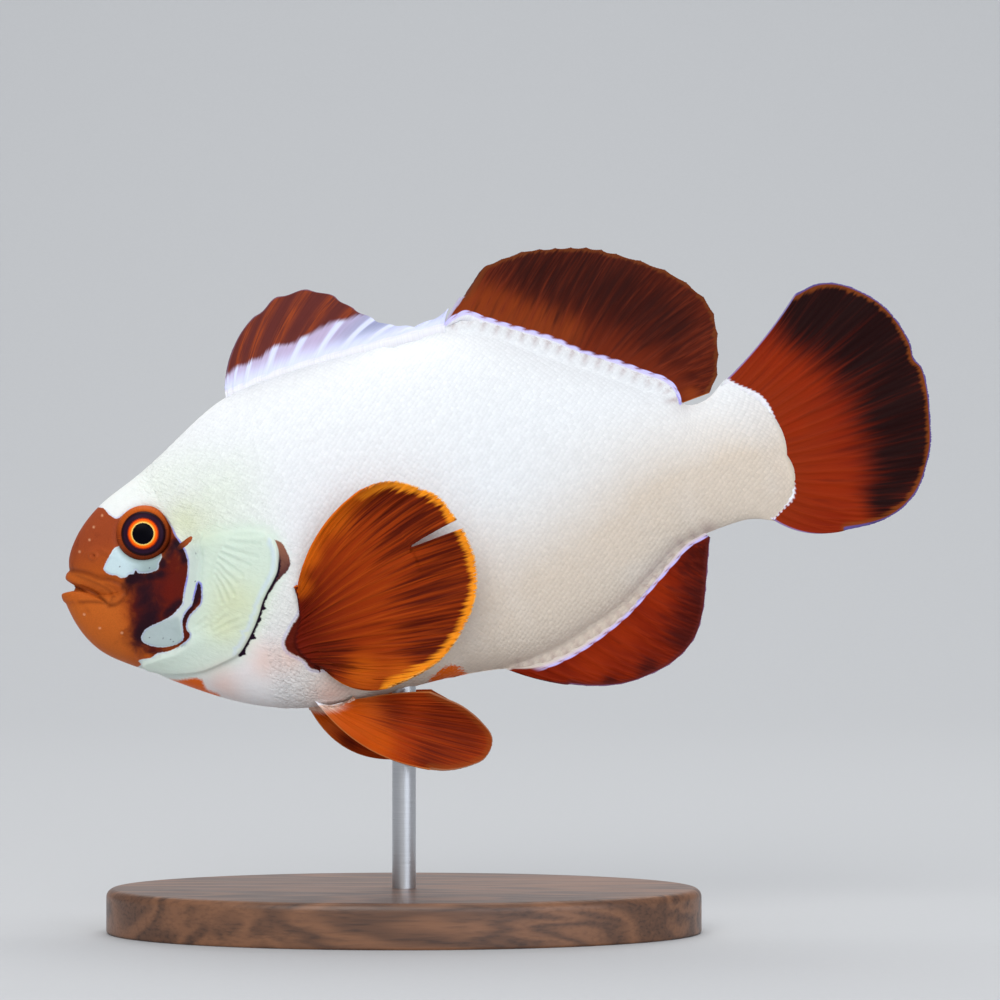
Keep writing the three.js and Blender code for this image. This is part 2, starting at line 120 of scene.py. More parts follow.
def along_curve(curve: Array, fractions: Array) -> Array:
    """Points at fractions of a curve's length.

    Args:
        curve: rows of coordinates.
        fractions: numbers from 0 to 1.

    Returns:
        One row for each.
    """
    run = np.append(0, np.cumsum(norm(np.diff(curve, axis=0), axis=1)))
    at = np.clip(fractions, 0, 1) * run[-1]
    return np.stack([np.interp(at, run, curve[:, k]) for k in range(curve.shape[1])], axis=-1)


def natural_spline(knots: Array, values: Array, at: Array) -> Array:
    """A natural cubic spline: second derivatives agree at the knots and are 0 at both ends.

    Args:
        knots: rising numbers.
        values: one row for each knot.
        at: where to read it, in any shape.

    Returns:
        The values there, with one more axis than at.
    """
    n = len(knots)
    gap = np.diff(knots)
    slope = np.diff(values, axis=0) / gap[:, None]
    system = np.eye(n)
    middle = np.arange(1, n - 1)
    system[middle, middle - 1] = gap[:-1]
    system[middle, middle] = 2 * (gap[:-1] + gap[1:])
    system[middle, middle + 1] = gap[1:]
    right = np.zeros_like(values)
    right[1:-1] = 6 * np.diff(slope, axis=0)
    bend = np.linalg.solve(system, right)
    i = np.clip(np.searchsorted(knots, at) - 1, 0, n - 2)
    h, left, after = gap[i][..., None], (at - knots[i])[..., None], (knots[i + 1] - at)[..., None]
    straight = (values[i] / h - bend[i] * h / 6) * after + (values[i + 1] / h - bend[i + 1] * h / 6) * left
    return straight + (bend[i] * after**3 + bend[i + 1] * left**3) / (6 * h)


def nearest_on(points: Array, line: Array) -> tuple[Array, Array]:
    """The nearest place to points on a line of straight spans.

    Args:
        points: rows of two coordinates.
        line: the line's points.

    Returns:
        The distance, and the length along the line up to it.
    """
    best, run = np.full(len(points), np.inf), np.zeros(len(points))
    passed = 0.0
    for start, end in zip(line[:-1], line[1:]):
        span = end - start
        t = np.clip((points - start) @ span / max(span @ span, 1e-12), 0, 1)
        away = points - start - t[:, None] * span
        square = np.einsum("ij,ij->i", away, away)
        length = float(norm(span))
        run = np.where(square < best, passed + t * length, run)
        best = np.minimum(best, square)
        passed += length
    return np.sqrt(best), run


def distance_to(points: Array, line: Points | Array) -> Array:
    """Distance from points to a smooth curve through the line's points."""
    return nearest_on(points, smooth_curve(line, steps=6))[0]


def depth_inside(points: Array, outline: Points, far: float = 4.0) -> Array:
    """How deep points lie inside a smooth closed outline; outside it is negative.

    A point is inside where a level line from it crosses the outline an odd number of times.

    Args:
        points: rows of two coordinates.
        outline: the outline's points.
        far: beyond this distance from the outline's box the answer is just minus far.

    Returns:
        Signed distances.
    """
    line = smooth_curve(outline, closed=True, steps=8)
    depth = np.full(len(points), -far)
    near = np.all((points > line.min(0) - far) & (points < line.max(0) + far), axis=1)
    some = points[near]
    odd = np.zeros(len(some), bool)
    for (x0, z0), (x1, z1) in zip(line[:-1], line[1:]):
        if z0 != z1:
            crosses = (z0 > some[:, 1]) != (z1 > some[:, 1])
            odd ^= crosses & (some[:, 0] < x0 + (some[:, 1] - z0) * (x1 - x0) / (z1 - z0))
    depth[near] = np.where(odd, 1, -1) * nearest_on(some, line)[0]
    return np.maximum(depth, -far)


def ramp(value: Array, low: float, high: float) -> Array:
    """Rises smoothly from 0 at low to 1 at high: 3 t squared minus 2 t cubed."""
    t = np.clip((value - low) / (high - low), 0, 1)
    return t * t * (3 - 2 * t)


def fade(value: Array, low: float, high: float) -> Array:
    """Falls smoothly from 1 at low to 0 at high."""
    return 1 - ramp(value, low, high)


def hump(value: Array, width: float) -> Array:
    """A bell that is 1 at zero and falls as exp of minus the square of value over width."""
    return np.exp(-((value / width) ** 2))


def quarter_round(depth: Array, width: float) -> Array:
    """The profile of a roll's edge: 0 outside, then a quarter circle up to 1 at width inside."""
    t = np.clip(depth / width, 0, 1)
    return np.sqrt(np.maximum(0, 1 - (1 - t) ** 2))


def soft_noise(points: Array, pitch: float, seed: int) -> Array:
    """Smooth noise from -1 to 1: random values at a lattice's knots, blended between them.

    Args:
        points: rows of two or three coordinates.
        pitch: the lattice's spacing.
        seed: which random values.

    Returns:
        One number for each point.
    """
    values = np.random.default_rng(seed).uniform(-1, 1, (LATTICE,) * points.shape[1])
    place = points / pitch
    cell = np.floor(place).astype(int)
    t = place - cell
    t = t * t * (3 - 2 * t)
    total = np.zeros(len(points))
    for corner in np.ndindex(*(2,) * points.shape[1]):
        weight = np.prod(np.where(np.array(corner) == 1, t, 1 - t), axis=1)
        total += weight * values[tuple(((cell + corner) % LATTICE).T)]
    return total


# ---- where the fish is
@dataclass(frozen=True)
class FishPlace:
    """The fish's frame over the stand."""

    origin: Array
    nose_down: float = math.radians(11)

    @classmethod
    def over_stand(cls) -> "FishPlace":
        """Finds the frame from the left eye's solid.

        Returns:
            The place of the fish.
        """
        low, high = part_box("eye_left")
        centre = (np.array(low) + np.array(high)) / 2 / MM
        tip = cls(np.zeros(3)).turned(np.array([[EYE_X, 0, EYE_Z]]))[0]
        return cls(np.array([centre[0] - tip[0], 0, centre[2] - tip[2]]))

    def turned(self, points: Array) -> Array:
        """Tips points nose down about the y axis."""
        c, s = math.cos(self.nose_down), math.sin(self.nose_down)
        x, y, z = points[..., 0], points[..., 1], points[..., 2]
        return rows_of(x * c - z * s, y, x * s + z * c)

    def to_model(self, points: Array) -> Array:
        """Takes points from the fish's frame in millimetres to the model's in metres."""
        return (self.turned(points) + self.origin) * MM


def seen_from_side(points: Array) -> Array:
    """Where points show on the middle plane when the fish is looked at from its side.

    A point spreads from the view's centre as the distance to the viewer over what is left of it. Both
    flanks are treated alike.
    """
    spread = VIEW_DISTANCE / (VIEW_DISTANCE - np.abs(points[..., 1]))
    return VIEW_CENTRE + (points[..., [0, 2]] - VIEW_CENTRE) * spread[..., None]


# ---- meshes from arrays
@dataclass
class Surface:
    """A mesh as arrays: points, faces, named values and maps of its points, and any normals of its own."""

    points: Array
    faces: list[Array]
    values: dict[str, Array] = field(default_factory=dict)
    maps: dict[str, Array] = field(default_factory=dict)
    normals: Array | None = None

    @classmethod
    def joined(cls, parts: list["Surface"]) -> "Surface":
        """Joins surfaces that carry the same values into one."""
        starts = np.cumsum([0] + [len(part.points) for part in parts[:-1]])
        return cls(
            np.vstack([part.points for part in parts]),
            [rows + start for part, start in zip(parts, starts) for rows in part.faces],
            {k: np.concatenate([part.values[k] for part in parts]) for k in parts[0].values},
            {k: np.vstack([part.maps[k] for part in parts]) for k in parts[0].maps},
        )


def grid_faces(index: Array, wrap: bool = False) -> Array:
    """Quads between neighbouring rows and columns of a grid of point numbers.

    Args:
        index: the point numbers.
        wrap: whether the last column meets the first.

    Returns:
        Rows of four point numbers.
    """
    across = np.roll(index, -1, axis=1) if wrap else index[:, 1:]
    here = index if wrap else index[:, :-1]
    quads = rows_of(here[:-1], here[1:], across[1:], across[:-1])
    return quads.reshape(-1, 4)


def grid_normals(points: Array, wrap: bool = False) -> Array:
    """Unit normals of a grid: the cross product of its slopes along rows and columns."""
    down = np.gradient(points, axis=0)
    if wrap:
        across = (np.roll(points, -1, axis=1) - np.roll(points, 1, axis=1)) / 2
    else:
        across = np.gradient(points, axis=1)
    normal = np.cross(down, across)
    return normal / np.maximum(norm(normal, axis=-1, keepdims=True), 1e-9)


def revolved(profile: Array, spokes: int) -> Surface:
    """A profile turned round the z axis: (r cos a, r sin a, z), closed to a pole at each end.

    Args:
        profile: rows of radius and height, from the bottom to the top, with end radii of 0.
        spokes: how many steps round.

    Returns:
        The closed surface, facing out, with its radius and angle as values.
    """
    angle = np.arange(spokes) * 2 * math.pi / spokes
    r, z = profile[1:-1, 0][:, None], profile[1:-1, 1][:, None]
    ring = rows_of(r * np.cos(angle), r * np.sin(angle), z + 0 * angle)
    rows = len(profile) - 2
    points = np.vstack([ring.reshape(-1, 3), [[0, 0, profile[0, 1]]], [[0, 0, profile[-1, 1]]]])
    index = np.arange(rows * spokes).reshape(rows, spokes)
    after = np.roll(index, -1, axis=1)
    low = rows_of(np.full(spokes, rows * spokes), after[0], index[0])
    high = rows_of(np.full(spokes, rows * spokes + 1), index[-1], after[-1])
    radius = np.hypot(points[:, 0], points[:, 1])
    spoke = np.arctan2(points[:, 1], points[:, 0])
    faces = [grid_faces(index, wrap=True)[:, ::-1], low, high]
    return Surface(points, faces, {"radius": radius, "spoke": spoke})


def zipped(ring: Array) -> list[Array]:
    """Faces that close a ring by joining each point to the one across from it.

    Args:
        ring: an even number of point numbers, whose first and middle ones are the two ends.

    Returns:
        The quads, and a triangle at each end.
    """
    half = len(ring) // 2
    near, far = ring[1:half], ring[:half:-1]
    quads = rows_of(near[:-1], near[1:], far[1:], far[:-1])
    ends = [[ring[0], near[0], far[0]], [near[-1], ring[half], far[-1]]]
    return [quads, np.array(ends)]


def thick_sheet(
    middle: Array, half: Array, index: Array, cut: int | None, values: dict, maps: dict
) -> Surface:
    """Gives a sheet its two faces, middle plus and minus half times the normal, and closes its edges.

    An edge that only one quad uses is free, and gets a wall from front to back.

    Args:
        middle: a grid of points.
        half: half the thickness at each.
        index: each point's number; points that are one share it.
        cut: the first row beyond a slit, if there is one.
        values: named numbers of the grid's points.
        maps: named flat coordinates of the same.

    Returns:
        The closed surface.
    """
    parts = [slice(None)] if cut is None else [slice(0, cut), slice(cut, None)]
    normal = np.concatenate([grid_normals(middle[part]) for part in parts])
    quads = np.vstack([grid_faces(index[part]) for part in parts])
    shift = normal * half[..., None]
    points = np.vstack([(middle + shift).reshape(-1, 3), (middle - shift).reshape(-1, 3)])
    count = len(points) // 2
    edges = rows_of(quads, np.roll(quads, -1, axis=1)).reshape(-1, 2)
    key = np.sort(edges, axis=1) @ np.array([count, 1])
    _, first, uses = np.unique(key, return_index=True, return_counts=True)
    a, b = edges[first[uses == 1]].T
    walls = rows_of(b, a, a + count, b + count)
    twice = {k: np.tile(v.reshape(-1), 2) for k, v in values.items()}
    both = {k: np.tile(v.reshape(-1, 2), (2, 1)) for k, v in maps.items()}
    return Surface(points, [quads, quads[:, ::-1] + count, walls], twice, both)


def new_object(name: str, data: bpy.types.ID) -> bpy.types.Object:
    """Puts a mesh, camera or light into the scene."""
    made = bpy.data.objects.new(name, data)
    bpy.context.scene.collection.objects.link(made)
    return made


def make_piece(
    name: str, surface: Surface, material: Material, stands_for: tuple[str, ...],
    place: FishPlace | None = None,
) -> bpy.types.Object:
    """Makes a mesh object that rides on the model and stands for CAD nodes.

    Args:
        name: the piece's name.
        surface: its mesh, in the fish's frame where place is given and otherwise in metres.
        material: its finish.
        stands_for: the CAD nodes that it replaces.
        place: where the fish is.

    Returns:
        The new object.
    """
    points = place.to_model(surface.points) if place else surface.points
    used = np.zeros(len(points), bool)
    for rows in surface.faces:
        used[rows.reshape(-1)] = True
    number = np.cumsum(used) - 1
    corners = np.concatenate([number[rows].reshape(-1) for rows in surface.faces])
    sizes = np.concatenate([np.full(len(rows), rows.shape[1]) for rows in surface.faces])
    mesh = bpy.data.meshes.new(name)
    mesh.vertices.add(int(used.sum()))
    mesh.vertices.foreach_set("co", points[used].astype(np.float32).reshape(-1))
    mesh.loops.add(len(corners))
    mesh.loops.foreach_set("vertex_index", corners.astype(np.int32))
    mesh.polygons.add(len(sizes))
    mesh.polygons.foreach_set("loop_start", (np.cumsum(sizes) - sizes).astype(np.int32))
    mesh.update(calc_edges=True)
    for key, numbers in surface.values.items():
        layer = mesh.attributes.new(key, "FLOAT", "POINT")
        layer.data.foreach_set("value", numbers[used].astype(np.float32))
    for key, flat in surface.maps.items():
        layer = mesh.uv_layers.new(name=key)
        layer.data.foreach_set("uv", flat[used][corners].astype(np.float32).reshape(-1))
    mesh.shade_smooth()
    if surface.normals is not None:
        turned = place.to_model(surface.points + surface.normals) - points
        turned = turned / norm(turned, axis=1, keepdims=True)
        mesh.normals_split_custom_set_from_vertices(turned[used])
    mesh.materials.append(material)
    piece = new_object(name, mesh)
    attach(piece, "root")
    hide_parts(*stands_for)
    triangles = int((sizes - 2).sum())
    log.info("%s: %d points, %d triangles, for %s", name, used.sum(), triangles, ", ".join(stands_for))
    return piece


# ---- the body
@dataclass(frozen=True)
class Station:
    """A cross section of the body: its top (x, z), its widest point (x, z, half width), its bottom.

    ridge is the height of the thin edge that sheathes a fin, at the top and the bottom. bow and lift
    bend the upper and lower half backwards and upwards.
    """

    top: Pair
    side: tuple[float, float, float]
    bottom: Pair
    ridge: Pair = (0, 0)
    bow: Pair = (0, 0)
    lift: Pair = (0, 0)


# From inside the mouth, over the lips, to the fan's base.
BODY_STATIONS = (
    Station((1.6, 0.25), (1.75, 0, 0.45), (1.55, -0.25)),
    Station((1.45, 0.5), (2.6, -0.35, 1.5), (1.2, -0.4)),
    Station((1, 0.85), (3.1, -0.75, 2.2), (0.55, -0.4)),
    Station((0.7, 1.3), (3.5, -1, 2.75), (-0.05, -0.55), lift=(0.3, 0.3)),
    Station((1.25, 2.5), (5.2, -1.6, 3.6), (0.1, -2.1), lift=(0.1, 0.2)),
    Station((1.6, 3.9), (7.3, -1.8, 4.9), (0.7, -4.3)),
    Station((2.6, 5.9), (8.9, -1.6, 5.8), (1.8, -6.8)),
    Station((4.6, 8.3), (10.9, -1.3, 6.7), (3.7, -9.3)),
    Station((7.6, 10.6), (13.2, -1, 7.4), (6.4, -11.3)),
    Station((11.5, 12.6), (15.8, -0.7, 8.1), (10, -13.5)),
    Station((16, 15.1), (19, -0.4, 8.7), (14.6, -16.3)),
    Station((21, 18.4), (22.8, -0.1, 9.2), (20, -19.2)),
    Station((26.4, 21.3), (27.2, 0.2, 9.6), (26, -21.3)),
    Station((33, 22.8), (33, 0.5, 9.8), (33, -22.2)),
    Station((41, 23.7), (41, 0.8, 9.6), (41, -22.1)),
    Station((49, 24.1), (49, 1, 9), (49, -21.6)),
    Station((56.5, 24.9), (56.5, 1, 8.2), (56.5, -21.9), ridge=(0.8, 0.3)),
    Station((62, 25.3), (62.5, 1, 7.3), (62, -22.4), ridge=(2.4, 1.7)),
    Station((69, 21.8), (69.5, 0.9, 6.2), (69, -20.4), ridge=(2.8, 2.1)),
    Station((76, 17.8), (76.3, 0.7, 5.1), (76, -16.7), ridge=(2.7, 2)),
    Station((82.2, 14), (82, 0.4, 4.2), (81.6, -11.7), ridge=(2.6, 1.1)),
    Station((86, 11), (86, 0.2, 3.6), (85.4, -9.5), ridge=(1.6, 0.3)),
    Station((87, 8.6), (89.5, 0.1, 3), (89.2, -8.7)),
    Station((90.1, 8.8), (93.4, 0, 2.3), (92.6, -8.4)),
    Station((92.3, 10.5), (97, -0.4, 1.3), (95, -9), bow=(1.3, 1.2)),
    Station((93.1, 10.9), (99.2, -0.8, 0.35), (95.8, -9.3), bow=(2.1, 1.9)),
)


FLANK_FROM = 8  # the station where the half width of the flank is first read


@dataclass(frozen=True)
class Body:
    """The fish's flesh as a surface of two numbers: the station, and the angle round the section."""

    stations: tuple[Station, ...] = BODY_STATIONS
    back_sharpness: float = 1.14  # 1 is an ellipse, and more makes the back narrower
    belly_sharpness: float = 0.96
    ridge_half: float = 0.5
    ridge_fillet: float = 0.7
    edge_rounding: float = 20.0

    def lines(self, at: Array) -> Array:
        """Top (x, z), side (x, z, half width) and bottom (x, z) at station numbers, by a spline."""
        table = np.array([[*s.top, *s.side, *s.bottom] for s in self.stations], float)
        gap = norm(np.diff(table, axis=0), axis=1)
        knots = np.append(0, np.cumsum(np.sqrt(gap)))
        return natural_spline(knots, table, np.interp(at, np.arange(len(knots)), knots))

    def extras(self, at: Array) -> Array:
        """Ridge, bow and lift, each for the top and the bottom, straight between the stations."""
        table = np.array([[*s.ridge, *s.bow, *s.lift] for s in self.stations], float)
        number = np.arange(len(table))
        return np.stack([np.interp(at, number, column) for column in table.T], axis=-1)

    def surface(self, at: Array, angle: Array) -> Array:
        """Points of the flesh.

        Each section has two halves, hinged at its widest point. With reach the size of the angle's
        cosine, a point is the side plus reach times the way to the edge, bent by bow and lift times
        4 reach (1 - reach). Its half width is the side's times the height of a unit circle over reach,
        to the power of the sharpness. A ridge's half thickness is joined to it by a fillet.

        Args:
            at: station numbers.
            angle: 0 at the back, and a quarter turn on the left side.

        Returns:
            Points in the fish's frame.
        """
        upper = np.cos(angle) >= 0
        reach = np.abs(np.cos(angle))
        line, extra = self.lines(at), self.extras(at)
        side, half = line[..., 2:4], line[..., 4]
        edge = np.where(upper[..., None], line[..., 0:2], line[..., 5:7])
        ridge, bow, lift = (np.where(upper, extra[..., k], extra[..., k + 1]) for k in (0, 2, 4))
        height = norm(edge - side, axis=-1)
        fleshy = 1 - ridge / np.maximum(height, 1)
        circle = np.sqrt(np.maximum(0, 1 - (reach / fleshy) ** 2))
        flesh = half * circle ** np.where(upper, self.back_sharpness, self.belly_sharpness)
        thin = np.minimum(self.ridge_half, 4 * (1 - fleshy) * self.ridge_half / 0.1)
        joined = (flesh + thin + np.hypot(flesh - thin, self.ridge_fillet * np.minimum(1, thin * 4))) / 2
        closing = np.sqrt(np.maximum(0, 1 - reach**self.edge_rounding))
        width = np.where(fleshy < 0.999, joined * closing, flesh)
        bend = 4 * reach * (1 - reach)
        x = side[..., 0] + (edge[..., 0] - side[..., 0]) * reach + bow * bend
        z = side[..., 1] + (edge[..., 1] - side[..., 1]) * reach + lift * bend
        return rows_of(x, -np.sign(np.sin(angle)) * width, z)

    def flank_half_width(self, x: Array, z: Array) -> Array:
        """The half width of the flank behind the head, where sections are upright ellipses."""
        at = np.linspace(FLANK_FROM, len(self.stations) - 1, 400)
        line = self.lines(at)
        rows = self.lines(np.interp(x, line[:, 2], at))
        edge = np.where(z > rows[..., 3], rows[..., 1], rows[..., 6])
        reach = np.clip(np.abs((z - rows[..., 3]) / (edge - rows[..., 3])), 0, 1)
        return rows[..., 4] * np.sqrt(1 - reach**2)


# ---- what shows on the skin
EYE_X, EYE_Z, EYE_RADIUS = 12.8, 5.3, 3.75
EYE: Points = ((EYE_X, EYE_Z),)

GILL_OUTLINE: Points = (
    (19.6, 3.2), (21.2, 3.7), (24, 3.6), (26.4, 3.3), (28, 2.6), (29.1, 1.5), (29.5, 0), (29.4, -1.4),
    (28.9, -3.1), (28, -4.4), (27, -5.6), (26.1, -6.9), (25.5, -8.1), (24.6, -9.6), (23.2, -11.5),
    (21.6, -13.1), (19, -13.95), (16.4, -14.4), (13.8, -14.2), (11.2, -13.6), (9, -12.6), (8.6, -11.8),
    (10.6, -11.3), (13.5, -10.9), (15.6, -9.8), (15.5, -8.2), (16, -6.9), (17.3, -6), (18.3, -4.3),
    (18.6, -2.2), (19.2, 0.4),
)
FACE_OUTLINE: Points = (
    (6.8, 10.05), (7.6, 9.7), (8.1, 8.8), (9.05, 8), (10.4, 8.6), (12, 9), (13.7, 8.5), (14.8, 7.6),
    (15.9, 5.8), (16.3, 4.2), (16.8, 3.15), (17.2, 1.85), (17.3, 0.5), (16.95, -1.05), (16.4, -2.4),
    (15.9, -3.7), (15.5, -4.9), (14.8, -5.5), (13.8, -6.2), (12.2, -6.7), (10.6, -7.1), (9.8, -7.5),
    (9.2, -8.4), (9.35, -8.95), (10.4, -9.7), (12.2, -10.2), (13.8, -10.1), (14.75, -9.6), (14.95, -8.5),
    (15.1, -7.1), (15.9, -6.05), (16.7, -5.4), (17.5, -3.9), (18.2, -2.5), (18.4, -2.9), (18.26, -4.2),
    (17.9, -5.3), (17.2, -5.9), (16.2, -6.6), (15.55, -7.6), (15.4, -8.2), (15.6, -8.8), (15.75, -9.1),
    (15.5, -9.6), (14.3, -10.3), (12.7, -10.8), (10.9, -10.8), (10.1, -11.2), (8.3, -11.3), (8.5, -11.85),
    (7.7, -12.2), (3, -14), (-6, -12), (-8, 0), (-4, 10), (3, 13),
)
UNDER_EYE: Points = (
    (8.3, 4.3), (7, 3.15), (6.2, 2.1), (6, 1.6), (6.7, 0.8), (7.6, 0.5), (8, 0.1), (8.8, 0.05), (9.3, 0.35),
    (9.9, 0.3), (10.2, 0.75), (10.5, 0.3), (11.2, 0.1), (12.2, 0.05), (13.2, 0.3), (13.5, 1.05),
    (14.05, 1.84), (13.8, 2.6), (12.2, 3.2), (10, 3.9),
)
UPPER_LIP: Points = (
    (0.6, 1.5), (1.2, 2.4), (2, 2.25), (3.5, 1.6), (5, 0.7), (6.2, 0.2), (7.5, -0.5), (8.2, -1.3),
    (8.1, -2.3), (7.3, -3.1), (6.2, -3.4), (5.5, -3), (5.1, -2.2), (4.4, -1.3), (3.2, -0.2), (1.8, 0.5),
)
LOWER_LIP: Points = (
    (-0.6, -0.5), (0.4, 0.1), (1.5, -0.1), (2.7, -0.6), (3.9, -1.2), (4.8, -2), (5.4, -2.9), (4.6, -2.7),
    (3.5, -2.35), (2.2, -2.15), (1, -1.95), (-0.3, -1.7),
)
CHEEK: Points = (
    (9.4, 0), (8.8, -1.6), (8.6, -4), (8.3, -6.5), (8.4, -8.6), (9.6, -10.1), (13, -10.6), (16.2, -9.6),
    (16.6, -6.8), (19, -4), (18.6, -1.8), (17.6, 0.6), (17.2, 3.6), (16, 3.6), (14.4, 2.7), (13.6, 1.2),
    (12.6, -0.2), (10.8, 0.1),
)
DARK_CHEEK: SoftLines = (
    (((9.8, -0.5), (10.6, -1.4), (11, -3.2), (11.4, -4.9), (10.2, -6.6), (9.4, -8.2)), 2.1),
    (((9, -0.4), (11, -0.5), (13.4, -0.4)), 0.9),
    (((13.9, 0.8), (14.8, 2), (16.4, 3), (17, 0.8)), 0.9),
    (((15, -7), (15.9, -6), (17.4, -4.6), (18.2, -3)), 0.8),
    (((13, -5.9), (15.2, -4.6)), 0.8),
)
STRIPE: SoftLines = ((((18.4, 1.5), (17.3, -2), (16, -5.1), (14.5, -6.5)), 1.5),)
FLAP: Points = (
    (29, 1.25), (29.7, 1), (30.3, 0.5), (30.6, -0.5), (30.85, -1.6), (30.8, -2.5), (30.2, -3.3),
    (29.3, -3.9), (28.3, -4.7), (27.3, -5.7), (27.2, -4.2), (28.2, -1.5),
)
PECTORAL_BASE: Points = (
    (31.2, -5.4), (31.4, -7.5), (30.8, -9.2), (29.3, -10.8), (28, -12.8), (28.3, -13.9), (30.1, -15.4),
    (30.9, -16.8), (32.7, -17.2), (36, -16.6), (37, -11), (35, -6),
)
VENT: Points = (
    (46.4, -22.4), (46.7, -21.1), (47.6, -20.7), (48.4, -20.1), (49.6, -19.9), (50.6, -20.1), (51.2, -21),
    (51.4, -23.4), (48, -23.6),
)
ISTHMUS: Points = (
    (11.6, -14.3), (13.2, -14.6), (15.2, -14.7), (16.4, -15.3), (16.8, -16.6), (18.4, -17.8), (18, -19.6),
    (13.6, -18), (10.4, -15.6),
)
SOFT_DORSAL_LINE: Points = (
    (57.2, 25.2), (58.6, 25.9), (60.5, 26.3), (62.6, 25.1), (65.3, 23.65), (68.8, 21.9), (71.6, 20.4),
    (74.6, 18.3), (78.8, 16.1), (82.4, 13.9), (85.2, 12.2), (86.2, 10.6), (86.4, 8.7),
)
ANAL_LINE: Points = (
    (57.2, -22.2), (60, -22.7), (61.9, -22.6), (66, -21.6), (70, -19.9), (74, -17.7), (78, -14.7),
    (82, -11.6), (83.6, -10.4), (86.6, -9.3),
)
CAUDAL_LINE: Points = (
    (93.2, 10.8), (94.6, 9.7), (96, 8.8), (97.2, 7.8), (98, 6.4), (98.6, 4), (98.9, 1.6), (98.8, -1),
    (99.2, -3.2), (99.4, -5), (98.9, -6.6), (97.3, -7.7), (95.6, -8.9),
)
GILL_REAR: Points = ((29.3, 0.9), *GILL_OUTLINE[6:15], (21.9, -13.1))
CHEEK_EDGE: Points = (
    (19.6, 3.4), (19.3, 1.2), (18.8, -0.8), (18.4, -2.4), (18.2, -4), (17.4, -5.7), (16.1, -6.5),
    (15.3, -7.8), (15.5, -9.3), (14, -10.4), (11.5, -10.8), (9.6, -10.7),
)
LATERAL_LINE: Points = (
    (27, 5.8), (30.5, 9.2), (36.8, 13.3), (41.3, 14.4), (49.4, 15.8), (52.8, 15.8), (58.3, 14.7),
    (62, 13.3), (70, 9.6), (79, 5), (88, 2),
)
NOSTRIL: Points = ((5, 3.7),)
NOSTRIL_RIDGE: Points = ((4, 4), (5.1, 4.55), (6.3, 4.2), (7.2, 3.4))
PORES: Points = ((7.2, 8.8), (5.8, 7.5), (4.9, 5.9), (2.3, -3.8), (6.8, -7.2), (4, -6), (3.3, 4.6))
CREAM: Discs = ((22.4, -6, 3.6), (20.5, -9, 2.5), (18, 6, 3.5))
BLUSH: Discs = ((25, -14.4, 2.6), (28.5, -14.6, 2), (18.5, -16.8, 3), (33, -20.5, 2.5))
SPECKS: Points = (
    (12.1, 0.65), (8.2, 1.6), (12.1, -9), (13.4, -9.7), (13.1, -9.3), (17.8, -2.3), (10.3, -8.5),
    (18.6, 1.4), (31.5, -2.9),
)


@dataclass(frozen=True)
class Crease:
    """A groove in the skin along a line, or a ridge where its depth is below zero."""

    line: Points
    depth: float
    width: float


def creases(*rows: tuple) -> tuple[Crease, ...]:
    """Creases from rows of depth, width and the line's points."""
    return tuple(Crease(line, depth, width) for depth, width, *line in rows)


LIP_LINES = creases(
    (0.2, 0.24, (1.3, 0.3), (2.3, -0.05), (3.3, -0.6), (4.2, -1.25), (5, -2.1), (5.5, -2.9)),
    (
        0.15, 0.3, (1.3, 2.45), (2.4, 2.1), (3.8, 1.5), (5.2, 0.6), (6.6, 0.1), (7.8, -0.7), (8.3, -1.7),
        (7.9, -2.7), (6.8, -3.3), (5.7, -3.3),
    ),
    (0.12, 0.26, (2, -2.1), (3.5, -2.3), (5, -2.7), (5.8, -3.2)),
    (0.07, 0.22, (2.2, 1.6), (3.4, 0.8), (4.6, 0), (5.9, -1), (6.7, -2.2)),
    (0.05, 0.2, (6, -0.4), (7, -1.2), (7.3, -2.2)),
    (0.05, 0.25, (5.4, 0.9), (7, 0.4), (8.6, -0.5), (9.2, -1.6)),
)
GILL_FOLDS = creases(
    (0.1, 0.22, (24.6, 7.2), (25.6, 5.8), (26.8, 4.4)),
    (0.1, 0.22, (25.6, 7.4), (26.7, 5.9), (27.9, 4.2)),
    (0.08, 0.22, (27, 7.2), (27.9, 6), (28.8, 4.8)),
    (0.08, 0.22, (22.6, 6.6), (23.8, 5.6), (24.9, 4.6)),
    (0.06, 0.25, (18.6, 6.4), (20.2, 5.6), (21.8, 5.2)),
)
GILL_RIBS = creases(
    (0.17, 0.2, (21.2, -0.6), (22, -1.9), (23.3, -3.6)),
    (0.17, 0.2, (21.6, 0.1), (22.7, -1.1), (24.2, -2.7)),
    (0.15, 0.2, (22, 0.7), (23.6, -0.4), (25.4, -1.6)),
    (0.14, 0.2, (22.6, 1.4), (24.4, 0.4), (26.6, -0.6)),
    (0.12, 0.2, (23.3, 2.1), (25.2, 1.5), (27.3, 0.9)),
    (0.11, 0.2, (24.2, 2.8), (26, 2.5), (27.9, 2.2)),
    (0.15, 0.2, (20.9, -1.2), (21.9, -3.2), (22.6, -5)),
    (0.14, 0.2, (20.6, -2), (21.2, -3.7), (21.6, -5.5)),
    (0.11, 0.2, (20.3, -2.8), (20.6, -4.2), (20.7, -5.8)),
    (-0.11, 0.2, (19, -9), (20.8, -8.4), (22.7, -7.9)),
    (-0.09, 0.2, (19.2, -9.7), (21.4, -9.2), (23.9, -8.8)),
    (-0.09, 0.2, (18.9, -8.5), (20, -7.7), (21.2, -7)),
    (-0.09, 0.16, (17, -7.9), (17.8, -7.2), (18.4, -6.9)),
    (-0.08, 0.16, (16.6, -8.8), (17.6, -8.3), (18.3, -8.2)),
)
WRINKLE_SLANT = -32  # degrees from level, down towards the tail
NAPE_RIDGE: Points = ((20.4, 2.6), (19.9, 0.6), (19.4, -1.5), (19, -3.5), (18.3, -5.6), (16.9, -7))


